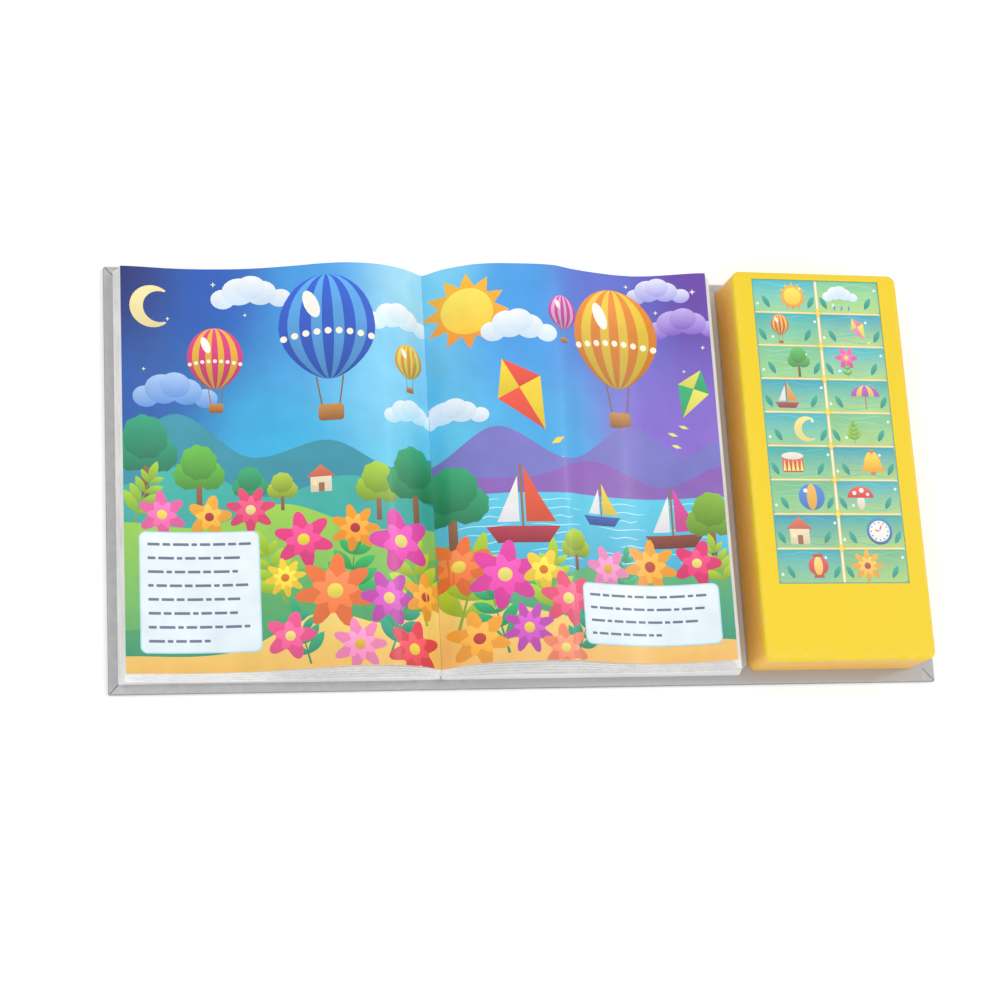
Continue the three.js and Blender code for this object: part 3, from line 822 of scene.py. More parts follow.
class Page:
    """Draws on one open page; places are shares of it, sizes are in millimetres."""

    def __init__(self, ink, at):
        self.ink = ink
        self.at = at

    def land(self, heights, colour, lower):
        x0, y0 = self.at(0, 0)
        x1, _ = self.at(1, 0)
        line = [(share, self.at(0, up)[1]) for share, up in heights]
        self.ink.lay(hillside(x0, x1, y0, line), colour, lower)

    def put(self, motif, across, up, size, *rest, **more):
        motif(Brush(self.ink, *self.at(across, up), size * MM), *rest, **more)


def paint_left(page):
    """Evening to noon over rolling hills, with balloons and a garden."""
    for across, up, size in ((0.05, 0.93, 2.2), (0.15, 0.87, 1.4), (0.3, 0.96, 1.8),
                             (0.07, 0.74, 1.3), (0.22, 0.78, 1.6), (0.4, 0.88, 1.3)):
        page.put(sparkle, across, up, size, (0.98, 0.93, 0.6))
    page.put(moon, 0.1, 0.9, 13, (1.0, 0.86, 0.42))
    page.put(cloud, 0.42, 0.93, 17)
    page.put(cloud, 0.9, 0.86, 15, (1, 1, 1), (0.6, 0.84, 0.97))
    page.put(cloud, 0.17, 0.68, 18, (0.42, 0.62, 0.93), (0.12, 0.30, 0.72))
    page.put(cloud, 0.93, 0.62, 13, (0.9, 0.97, 1), (0.45, 0.78, 0.92))
    page.put(balloon, 0.3, 0.74, 26, (0.9, 0.06, 0.25), (1.0, 0.55, 0.05))
    page.put(balloon, 0.66, 0.785, 45, (0.03, 0.13, 0.72), (0.12, 0.45, 0.95))
    page.put(balloon, 0.93, 0.74, 15, (0.95, 0.42, 0.02), (1.0, 0.85, 0.15))
    page.land([(0, 0.56), (0.18, 0.63), (0.4, 0.52), (0.65, 0.55), (0.85, 0.48), (1, 0.52)],
              (0.05, 0.32, 0.42), (0.02, 0.22, 0.3))
    page.land([(0, 0.45), (0.2, 0.5), (0.45, 0.42), (0.7, 0.46), (1, 0.4)],
              (0.06, 0.48, 0.4), (0.02, 0.25, 0.3))
    page.land([(0, 0.36), (0.25, 0.35), (0.5, 0.4), (0.75, 0.33), (1, 0.34)],
              (0.36, 0.66, 0.08), (0.05, 0.36, 0.16))
    page.land([(0, 0.1), (0.3, 0.14), (0.55, 0.24), (0.8, 0.2), (1, 0.27)],
              (0.15, 0.5, 0.12), (0.03, 0.26, 0.16))
    page.land([(0, 0.04), (0.35, 0.05), (0.6, 0.13), (0.8, 0.1), (1, 0.15)],
              (0.93, 0.72, 0.2), (0.85, 0.5, 0.12))
    page.put(house, 0.62, 0.455, 9, (0.95, 0.8, 0.6), (0.85, 0.2, 0.1))
    for across, up, size, tone in (
            (0.07, 0.52, 24, (0.03, 0.40, 0.22)), (0.24, 0.47, 19, (0.16, 0.58, 0.08)),
            (0.4, 0.44, 13, (0.05, 0.46, 0.2)), (0.8, 0.42, 17, (0.42, 0.68, 0.05)),
            (0.93, 0.44, 23, (0.04, 0.42, 0.18)), (0.5, 0.43, 11, (0.5, 0.7, 0.06))):
        page.put(tree, across, up, size, tone)
    for across, up, size, tone, turn in (
            (0.5, 0.16, 20, (0.48, 0.74, 0.04), 1.9), (0.68, 0.12, 24, (0.04, 0.52, 0.14), 1.4),
            (0.95, 0.1, 27, (0.55, 0.76, 0.04), 1.8), (0.82, 0.03, 19, (0.03, 0.42, 0.26), 1.2),
            (0.03, 0.36, 17, (0.42, 0.7, 0.05), 1.2), (0.57, 0.01, 17, (0.04, 0.45, 0.24), 1.8)):
        page.put(sprig, across, up, size, tone, turn=turn)
    for across, up, size, tone, heart, petals in (
            (0.56, 0.31, 13, (0.92, 0.05, 0.26), (1, 0.8, 0.05), 6),
            (0.72, 0.33, 11, (1.0, 0.36, 0.02), (0.5, 0.04, 0.05), 7),
            (0.87, 0.3, 15, (0.85, 0.06, 0.45), (1, 0.85, 0.2), 5),
            (0.5, 0.22, 9, (1.0, 0.68, 0.04), (0.8, 0.22, 0.02), 8),
            (0.65, 0.18, 17, (0.95, 0.2, 0.05), (1, 0.8, 0.1), 7),
            (0.82, 0.16, 13, (0.62, 0.07, 0.5), (1, 0.75, 0.2), 6),
            (0.95, 0.17, 11, (1.0, 0.42, 0.04), (0.6, 0.06, 0.05), 6),
            (0.51, 0.08, 11, (0.92, 0.1, 0.3), (1, 0.85, 0.2), 5),
            (0.72, 0.05, 12, (0.95, 0.26, 0.5), (0.85, 0.5, 0.05), 7),
            (0.9, 0.04, 13, (0.8, 0.05, 0.08), (1, 0.75, 0.05), 6),
            (0.12, 0.38, 11, (0.92, 0.14, 0.42), (1, 0.8, 0.1), 6),
            (0.27, 0.375, 10, (1.0, 0.45, 0.04), (0.5, 0.05, 0.05), 5),
            (0.4, 0.39, 11, (0.85, 0.07, 0.2), (1, 0.85, 0.3), 7)):
        page.put(flower, across, up, size, tone, heart, petals=petals, turn=across * 5)


def paint_right(page):
    """Noon to dusk over a lake, with boats and kites."""
    page.put(sun, 0.13, 0.88, 24)
    for across, up, size in ((0.95, 0.95, 2.0), (0.82, 0.9, 1.5), (0.97, 0.8, 1.5),
                             (0.72, 0.97, 1.6), (0.9, 0.74, 1.3)):
        page.put(sparkle, across, up, size, (0.98, 0.9, 0.7))
    page.put(cloud, 0.3, 0.83, 17)
    page.put(cloud, 0.83, 0.95, 14, (0.88, 0.86, 1.0), (0.36, 0.36, 0.85))
    page.put(cloud, 0.91, 0.86, 16, (0.62, 0.48, 0.93), (0.24, 0.12, 0.6))
    page.put(cloud, 0.07, 0.62, 14)
    page.put(kite, 0.3, 0.66, 25, (0.93, 0.1, 0.06), (1, 0.72, 0.04), turn=0.5)
    page.put(kite, 0.92, 0.68, 16, (0.05, 0.5, 0.2), (0.92, 0.86, 0.15), turn=-0.4)
    page.put(balloon, 0.66, 0.775, 44, (0.95, 0.3, 0.02), (1.0, 0.68, 0.05))
    page.put(balloon, 0.46, 0.86, 15, (0.7, 0.06, 0.5), (0.98, 0.5, 0.7))
    page.land([(0, 0.5), (0.2, 0.58), (0.45, 0.5), (0.7, 0.6), (0.88, 0.52), (1, 0.56)],
              (0.22, 0.2, 0.6), (0.12, 0.16, 0.45))
    page.land([(0, 0.46), (0.3, 0.45), (0.55, 0.5), (0.8, 0.44), (1, 0.49)],
              (0.30, 0.12, 0.5), (0.08, 0.2, 0.42))
    page.land([(0, 0.41), (0.5, 0.412), (1, 0.41)], (0.12, 0.62, 0.82), (0.02, 0.28, 0.55))
    for row in range(9):
        for column in range(4):
            x0, y = page.at(0.04 + 0.25 * column + 0.04 * (row % 3), 0.395 - 0.021 * row)
            x1, _ = page.at(0.2 + 0.25 * column + 0.03 * (row % 2), 0)
            ripple(page.ink, x0, x1, y, 0.5 * MM, 0.7 * MM, (0.45, 0.84, 0.93),
                   row * 1.7 + column)
    page.put(boat, 0.27, 0.38, 25, (0.92, 0.12, 0.05), (0.5, 0.05, 0.08))
    page.put(boat, 0.56, 0.39, 14, (1.0, 0.74, 0.06), (0.05, 0.12, 0.45))
    page.put(boat, 0.82, 0.36, 20, (0.85, 0.1, 0.4), (0.3, 0.08, 0.05))
    page.land([(0, 0.3), (0.15, 0.27), (0.32, 0.2), (0.5, 0.23), (0.75, 0.22), (1, 0.27)],
              (0.15, 0.52, 0.2), (0.03, 0.28, 0.2))
    page.land([(0, 0.17), (0.2, 0.14), (0.45, 0.1), (0.7, 0.08), (1, 0.05)],
              (0.95, 0.72, 0.22), (0.88, 0.5, 0.14))
    for across, up, size, tone in ((0.05, 0.38, 25, (0.04, 0.45, 0.2)),
                                   (0.95, 0.34, 19, (0.28, 0.55, 0.06)),
                                   (0.45, 0.27, 12, (0.5, 0.7, 0.05))):
        page.put(tree, across, up, size, tone)
    for across, up, size, tone, turn in (
            (0.05, 0.08, 26, (0.5, 0.75, 0.04), 1.3), (0.2, 0.02, 22, (0.03, 0.5, 0.2), 1.8),
            (0.35, 0.1, 21, (0.48, 0.74, 0.04), 1.5), (0.43, 0.01, 16, (0.03, 0.42, 0.24), 1.2),
            (0.98, 0.18, 15, (0.5, 0.72, 0.05), 1.8), (0.62, 0.17, 13, (0.04, 0.5, 0.2), 1.4)):
        page.put(sprig, across, up, size, tone, turn=turn)
    for across, up, size, tone, heart, petals in (
            (0.06, 0.24, 14, (0.95, 0.2, 0.04), (1, 0.8, 0.1), 7),
            (0.2, 0.21, 16, (0.86, 0.06, 0.42), (1, 0.82, 0.2), 6),
            (0.33, 0.22, 10, (1, 0.68, 0.05), (0.8, 0.22, 0.02), 5),
            (0.41, 0.15, 13, (0.92, 0.1, 0.22), (1, 0.85, 0.25), 6),
            (0.11, 0.06, 13, (1.0, 0.42, 0.04), (0.6, 0.06, 0.05), 6),
            (0.27, 0.08, 12, (0.6, 0.08, 0.52), (1, 0.75, 0.1), 8),
            (0.39, 0.03, 11, (0.95, 0.26, 0.14), (1, 0.8, 0.2), 6),
            (0.57, 0.23, 11, (0.92, 0.28, 0.55), (0.85, 0.5, 0.05), 6),
            (0.73, 0.24, 13, (1, 0.42, 0.04), (0.6, 0.08, 0.05), 7),
            (0.89, 0.245, 11, (0.86, 0.05, 0.2), (1, 0.85, 0.2), 5)):
        page.put(flower, across, up, size, tone, heart, petals=petals, turn=across * 7)


def text_panel(page, low, high, lines):
    """A pale panel with plain bars where lines of words would stand."""
    ink = page.ink
    x0, y0 = page.at(*low)
    x1, y1 = page.at(*high)
    rim = 0.8 * MM
    margin = 4 * MM
    ink.lay(bar(x0 - rim, y0 - rim, x1 + rim, y1 + rim, 4 * MM),
            (0.55, 0.80, 0.92), (0.45, 0.74, 0.88))
    ink.lay(bar(x0, y0, x1, y1, 3.4 * MM), (0.86, 0.93, 0.97), (0.78, 0.89, 0.95))
    pitch = (y1 - y0) / (lines + 0.6)
    for line in range(lines):
        y = y1 - pitch * (line + 0.8)
        end = x1 - margin - (x1 - x0) * (0.36 if line == lines - 1 else 0.05 * (line % 3))
        x = x0 + margin
        word = 0
        while x < end - 3 * MM:
            width = min((7, 4.5, 9, 3.2, 6)[(word + line) % 5] * MM, end - x)
            ink.lay(bar(x, y - 0.12 * pitch, x + width, y + 0.08 * pitch, 0.06 * pitch),
                    (0.16, 0.19, 0.27))
            x += width + 1.5 * MM
            word += 1


# Pieces


class OBJECT_OT_book_cases(bpy.types.Operator):
    """Make the three boards in their wrapping paper, with the turned-in corners."""

    bl_idname = "object.book_cases"
    bl_label = "Covered boards"

    def execute(self, context):
        radius = sizes().wrap_radius
        for node, body, name in (("front_board", "front_cover", "front_case"),
                                 ("back_board", "back_cover", "back_case"),
                                 ("spine_strip", "spine", "spine_case")):
            case = node_copy(node, name)
            round_outer_edges(case, radius, 4)
            give(even_shading(case), wrap_paper())
            case.data.materials.append(side_shade_paper())
            # Faces that don't look up take the darker paper, as painted shade on the board's sides
            # and underside.
            for face in case.data.polygons:
                face.material_index = 0 if face.normal.z > 0.75 else 1
            parts = [case]
            low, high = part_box(node)
            if node != "spine_strip":
                outer = low.x if node == "front_board" else high.x
                inward = 1 if node == "front_board" else -1
                for y, up in ((low.y, 1), (high.y, -1)):
                    parts.append(mitre(outer, y, inward, up, high.z))
            piece = join(parts, name)
            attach(piece, body)
            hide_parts(node)
        return {"FINISHED"}


def round_outer_edges(obj, width, segments):
    """Round the edges along the outside of an upright form."""
    pick(obj)
    points = [vertex.co for vertex in obj.data.vertices]
    low = Vector(min(p[i] for p in points) for i in range(3))
    high = Vector(max(p[i] for p in points) for i in range(3))
    middle, half = (low + high) / 2, (high - low) / 2
    shape = bmesh.new()
    shape.from_mesh(obj.data)
    weight = shape.edges.layers.float.new("bevel_weight_edge")
    same_way, near_side, side_gap = 0.85, 0.965, 1.6 * MM
    for edge in shape.edges:
        if len(edge.link_faces) != 2:
            continue
        facing = [face.normal for face in edge.link_faces]
        if facing[0].dot(facing[1]) > same_way:
            continue
        spots = [(vertex.co - middle) for vertex in edge.verts]
        outside = all(max(abs(s.x) / half.x, abs(s.y) / half.y) > near_side
                      and min(half.x - abs(s.x), half.y - abs(s.y)) < side_gap for s in spots)
        outward = all(abs(f.z) > 0.9 or f.x * spots[0].x > 0 or f.y * spots[0].y > 0
                      for f in facing)
        if outside and outward:
            edge[weight] = 1.0
    shape.to_mesh(obj.data)
    shape.free()
    return apply_step(
        obj, "Rounded outside", "BEVEL", width=width, segments=segments, limit_method="WEIGHT",
        use_clamp_overlap=True)


def mitre(x, y, inward, up, z):
    """One turned-in flap of paper over the other at a board's corner, with painted shade where the
    flaps meet.
    """
    reach = 8 * MM
    start = 0.8 * MM
    # The near-black strip where the two flaps meet is painted shade, a dark sheet laid in the gap.
    shadow = made("paper seam", lambda: Finish(
        "paper seam", (0.07, 0.07, 0.073), 0.7, 1500, 0.00003).done())
    flap = Ink("flap")
    corner = (x + inward * start, y + up * start)
    far = (x + inward * reach, y + up * reach)
    flap.lay([corner, (far[0], corner[1]), far], (0.4, 0.4, 0.4))
    seam_shade = Ink("seam_shade")
    side = 0.3 * MM
    seam_shade.lay([corner, (far[0] - inward * side, far[1] + up * side), far,
              (corner[0] + inward * side, corner[1] - up * side)], (0.1, 0.1, 0.1))
    made_parts = []
    for ink, material, lift, thick in ((flap, wrap_paper(), 0.08 * MM, 0.1 * MM),
                                       (seam_shade, shadow, 0.085 * MM, 0.02 * MM)):
        obj = ink.whole()
        for vertex in obj.data.vertices:
            vertex.co.z = z + lift
        apply_step(obj, "Paper", "SOLIDIFY", thickness=thick, offset=-1)
        made_parts.append(give(obj, material))
    return join(made_parts, "mitre")


def hinge_wrap(name, board, spine_side, board_side):
    """The paper that crosses a joint of the cover, sunk into a groove."""
    low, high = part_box(board)
    lap = 4 * MM
    left, right = sorted((spine_side, board_side))
    obj = block(name, (left - lap, low.y + 0.03 * MM, 0.02 * MM),
                (right + lap, high.y - 0.03 * MM, high.z + 0.05 * MM))
    round_outer_edges(obj, sizes().wrap_radius, 4)
    steps = 20
    slice_across(obj, [left - lap + (right - left + 2 * lap) * step / steps
                       for step in range(1, steps)])
    middle = (left + right) / 2
    reach = (right - left) / 2
    floor = min(v.co.z for v in obj.data.vertices)
    for vertex in obj.data.vertices:
        share = max(0.0, 1 - abs(vertex.co.x - middle) / reach)
        sink = 0.5 * MM * math.sin(share * math.pi / 2) ** 2
        vertex.co.z += sink if vertex.co.z - floor < high.z / 2 else -sink
    give(smooth(obj), wrap_paper())
    obj.data.materials.append(side_shade_paper())
    # Faces that don't look up take the darker paper, as painted shade on the wrap's sides and
    # underside.
    for face in obj.data.polygons:
        face.material_index = 0 if face.normal.z > 0.6 else 1
    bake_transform(obj)
    return obj


class OBJECT_OT_book_hinges(bpy.types.Operator):
    """Make the wrapping paper across the joints and the paper lining under the gutter."""

    bl_idname = "object.book_hinges"
    bl_label = "Paper hinges"

    def execute(self, context):
        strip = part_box("spine_strip")
        hinge_wrap("front_hinge_wrap", "front_board", strip[0].x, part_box("front_board")[1].x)
        hinge_wrap("back_hinge_wrap", "back_board", strip[1].x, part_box("back_board")[0].x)
        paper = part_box("back_endpaper")
        lining = block("spine_lining", (strip[0].x, paper[0].y, strip[1].z + 0.02 * MM),
                       (strip[1].x, paper[1].y, paper[1].z))
        bevel_edges(lining, 0.12 * MM)
        give(smooth(lining), end_paper())
        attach(lining, "spine")
        for name, body, ends in (
                ("front_gutter_paper", "front_cover",
                 (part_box("front_endpaper")[1].x, strip[0].x)),
                ("back_gutter_paper", "back_cover", (strip[1].x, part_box("back_endpaper")[0].x))):
            sheet = block(name, (min(ends) - 0.1 * MM, paper[0].y, strip[1].z + 0.09 * MM),
                          (max(ends) + 0.1 * MM, paper[1].y, paper[1].z - 0.02 * MM))
            steps = 8
            slice_across(sheet, [min(ends) + (max(ends) - min(ends)) * step / steps
                                 for step in range(1, steps)])
            give(smooth(sheet), end_paper())
            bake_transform(sheet)
        return {"FINISHED"}


BOWS = {
    "left": [(0, 0), (0.055, 0.42), (0.145, 0.86), (0.235, 1.0), (0.33, 0.9), (0.456, 0.52),
             (0.61, 0.15), (0.8, 0.03), (1, 0.04)],
    "right": [(0, 0), (0.05, 0.42), (0.12, 0.74), (0.2, 0.94), (0.3, 1.0), (0.43, 0.97),
              (0.51, 0.69), (0.62, 0.43), (0.72, 0.29), (0.8, 0.29), (1, 0.55)],
}


def leaf_grid(side, level):
    """One open leaf's columns, their heights and its two ends in Y."""
    book = sizes()
    node = f"{side}_pages"
    low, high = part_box(node)
    turn = -1 if side == "left" else 1
    count = book.leaf_count
    tip = GUTTER_X + turn * 0.05 * MM
    short, stagger = 3.15 * MM, 0.25 * MM
    nearest, farthest = 0.006, 0.97
    reach = high.x - low.x - short + stagger * (count - 1 - level)
    if side == "right":
        reach -= book.draw_in * (level + 1)
    columns = round(reach / book.leaf_step)
    closed = NODES[node]
    xs, zs = [], []
    rise = (book.left_rise if side == "left" else book.right_rise) * (level + 1) / count
    for column in range(columns + 1):
        share = column / columns
        x = tip + turn * share * reach
        probe = min(max(share, nearest), farthest) * reach
        found, spot, _, _ = closed.ray_cast(
            Vector((tip + turn * probe, (low.y + high.y) / 2, 0.2)), Vector((0, 0, -1)))
        if not found:
            raise RuntimeError("no closed leaf under an open one")
        lift = 0.15 * MM + level * (book.leaf_thickness + LEAF_AIR)
        xs.append(x)
        zs.append(spot.z + lift + rise * curve(BOWS[side], share) + book.leaf_thickness)
    ys = (low.y + 0.2 * MM + book.foot_step * (level + 1), high.y - 0.2 * MM)
    return xs, zs, ys


def leaf_height(xs, zs, x):
    """Height of a leaf's mesh at a place across it."""
    if xs[0] > xs[-1]:
        xs, zs = xs[::-1], zs[::-1]
    step = (xs[-1] - xs[0]) / (len(xs) - 1)
    index = min(max(int((x - xs[0]) / step), 0), len(xs) - 2)
    share = (x - xs[index]) / step
    return zs[index] + (zs[index + 1] - zs[index]) * share


def leaf_sheet(xs, zs, ys, rows):
    """A sheet of card over the given columns, with its thickness below."""
    deselect_all()
    columns = len(xs) - 1
    bpy.ops.mesh.primitive_grid_add(x_subdivisions=columns, y_subdivisions=rows, size=2)
    obj = bpy.context.object
    left, right = min(xs), max(xs)
    for vertex in obj.data.vertices:
        x = left + (right - left) * (vertex.co.x + 1) / 2
        y = ys[0] + (ys[1] - ys[0]) * (vertex.co.y + 1) / 2
        vertex.co = (x, y, leaf_height(xs, zs, x))
    return obj


def thicken(obj, thickness, rim=0, swell=None):
    """Give a sheet its wall; swell adds depth below it by the place across."""
    count = len(obj.data.vertices)
    tops = [vertex.co.z for vertex in obj.data.vertices]
    apply_step(obj, "Card", "SOLIDIFY", thickness=thickness, offset=-1,
               material_offset_rim=rim)
    if swell:
        for index, top in enumerate(tops):
            vertex = obj.data.vertices[count + index]
            vertex.co.x = obj.data.vertices[index].co.x
            vertex.co.z = top - thickness - swell(vertex.co.x)
    return obj


class OBJECT_OT_book_leaves(bpy.types.Operator):
    """Make the bowed leaves below the open page on each side."""

    bl_idname = "object.book_leaves"
    bl_label = "Open leaves"

    def execute(self, context):
        book = sizes()
        for side, body in (("left", "front_cover"), ("right", "back_cover")):
            sheets = []
            for level in range(book.leaf_count - 1):
                xs, zs, ys = leaf_grid(side, level)
                rise = book.left_rise if side == "left" else book.right_rise

                def swell(x):
                    share = min(1.0, abs(x - GUTTER_X) / (max(xs) - min(xs)))
                    return 0.3 * rise / book.leaf_count * max(0.0, curve(BOWS[side], share))

                sheets.append(thicken(
                    leaf_sheet(xs, zs, ys, 2), book.leaf_thickness, swell=swell))
            leaves = give(smooth(join(sheets, f"{side}_open_leaves")), cut_edge())
            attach(leaves, body)
            flatten(leaves)
        return {"FINISHED"}


def flatten(leaf):
    """Give an open leaf a mesh of its own."""
    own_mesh(leaf)


class OBJECT_OT_book_pages(bpy.types.Operator):
    """Make the two printed pages that face up."""

    bl_idname = "object.book_pages"
    bl_label = "Printed pages"

    def execute(self, context):
        book = sizes()
        for side, body in (("left", "front_cover"), ("right", "back_cover")):
            xs, zs, ys = leaf_grid(side, book.leaf_count - 1)
            left, right = min(xs), max(xs)
            page = leaf_sheet(xs, zs, ys, 80)
            tone = page.data.color_attributes.new("ink", "FLOAT_COLOR", "POINT")
            # Each corner takes the printed sky colour, which holds a painted highlight by the left
            # page's gutter.
            for index, vertex in enumerate(page.data.vertices):
                across = (vertex.co.x - left) / (right - left)
                up = (vertex.co.y - ys[0]) / (ys[1] - ys[0])
                tone.data[index].color = (*sky_and_highlight_colour(side, across, up), 1)
            page.data.materials.append(printed("page print"))
            page.data.materials.append(cut_edge())
            thicken(page, book.leaf_thickness, rim=1)
            ink = Ink("print")

            def at(across, up):
                edge = 0.02 * MM
                return (left + edge + (right - left - 2 * edge) * across,
                        ys[0] + edge + (ys[1] - ys[0] - 2 * edge) * up)

            drawn = Page(ink, at)
            if side == "left":
                paint_left(drawn)
                text_panel(drawn, (0.05, 0.05), (0.42, 0.335), 8)
            else:
                paint_right(drawn)
                text_panel(drawn, (0.47, 0.045), (0.95, 0.19), 4)
            print_on_page = ink.whole()
            margin = 0.05 * MM
            trim(print_on_page, (left + margin, ys[0] + margin),
                 (right - margin, ys[1] - margin))
            slice_across(print_on_page, xs[1:-1])
            for vertex in print_on_page.data.vertices:
                vertex.co.z += leaf_height(xs, zs, vertex.co.x)
            give(print_on_page, printed("page print"))
            piece = smooth(join([page, print_on_page], f"{side}_printed_page"), 60)
            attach(piece, body)
            flatten(piece)
        return {"FINISHED"}


def trim(obj, low, high):
    """Cut a flat print off at the edges of its sheet."""
    pick(obj)
    bpy.ops.object.mode_set(mode="EDIT")
    for place, facing in ((low[0], (-1, 0, 0)), (high[0], (1, 0, 0))):
        bpy.ops.mesh.select_all(action="SELECT")
        bpy.ops.mesh.bisect(plane_co=(place, 0, 0), plane_no=facing, clear_outer=True)
    for place, facing in ((low[1], (0, -1, 0)), (high[1], (0, 1, 0))):
        bpy.ops.mesh.select_all(action="SELECT")
        bpy.ops.mesh.bisect(plane_co=(0, place, 0), plane_no=facing, clear_outer=True)
    bpy.ops.object.mode_set(mode="OBJECT")


class OBJECT_OT_book_papers(bpy.types.Operator):
    """Finish the endpapers and the closed leaves."""

    bl_idname = "object.book_papers"
    bl_label = "Endpapers and closed leaves"

    def execute(self, context):
        for node in ("front_endpaper", "back_endpaper"):
            give(NODES[node], end_paper())
            ease(NODES[node], 0.08 * MM)
        for node in ("left_pages", "right_pages"):
            give(NODES[node], cut_edge())
        return {"FINISHED"}


def ease(node, width):
    """Soften a frame node's edges with live modifiers."""
    weld = node.modifiers.new("Weld", "WELD")
    weld.merge_threshold = WELD_GAP
    step = node.modifiers.new("Eased edges", "BEVEL")
    step.width = width
    step.segments = 2
    step.limit_method = "ANGLE"
    step.angle_limit = math.radians(40)


class OBJECT_OT_book_module(bpy.types.Operator):
    """Make the module's orange tray and its yellow upper plate."""

    bl_idname = "object.book_module"
    bl_label = "Sound module"

    def execute(self, context):
        tray = node_copy("base_shell", "module_tray")
        round_outer_edges(tray, 0.5 * MM, 2)
        give(even_shading(tray), moulded("orange plastic", colours().tray))
        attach(tray, "back_cover")
        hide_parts("base_shell")
        cap = node_copy("top_cover", "module_plate")
        give(even_shading(cap), moulded("yellow plastic", colours().cap, 0.5, 0.03))
        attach(cap, "back_cover")
        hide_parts("top_cover")
        return {"FINISHED"}


def cell_colours(row, column):
    """Water greens and blues that drift down the film."""
    share = row / 8
    top = ((0.06, 0.52, 0.62), (0.03, 0.42, 0.56), (0.22, 0.62, 0.36), (0.04, 0.48, 0.50))
    foot = ((0.38, 0.68, 0.28), (0.06, 0.46, 0.50), (0.50, 0.72, 0.22), (0.12, 0.60, 0.55))
    pick_one = (row * 3 + column * 2) % 4
    return ([a * (1 - 0.2 * share) for a in top[pick_one]],
            [a * (1 - 0.1 * share) for a in foot[(pick_one + row) % 4]])


# The pictures on the keys, row by row: motif, shift across and up, size, colours
PICTURES = (
    ((sun, 0, 0, 1), (rain, 0, 0, 1)),
    ((balloon, 0, 0, 1, (0.95, 0.15, 0.1), (1, 0.75, 0.1)),
     (kite, 0, 0.1, 0.85, (0.95, 0.3, 0.5), (1, 0.85, 0.15))),
    ((tree, 0, 0, 1, (0.15, 0.6, 0.15)), (bloom, 0, 0, 1)),
    ((boat, 0, 0, 0.95, (1, 0.45, 0.1), (0.5, 0.1, 0.1)),
     (umbrella, 0, -0.1, 1, (0.6, 0.15, 0.65), (1, 0.75, 0.15))),
    ((moon, 0.1, 0, 0.85, (1, 0.85, 0.3)), (sprig, 0, -0.95, 0.75, (0.35, 0.65, 0.08))),
    ((drum, 0, 0, 0.9, (0.85, 0.15, 0.12), (1, 0.8, 0.2)), (bell, 0, 0, 0.9)),
    ((ball, 0, 0, 1, (0.1, 0.3, 0.8), (1, 0.55, 0.1)), (mushroom, 0, 0, 0.9)),
    ((house, 0, 0, 1, (0.98, 0.82, 0.55), (0.85, 0.2, 0.12)), (clock, 0, 0, 1)),
    ((lantern, 0, 0, 1, (0.9, 0.12, 0.12)),
     (flower, 0, 0, 0.85, (1, 0.5, 0.08), (0.55, 0.1, 0.1), 8)),
)


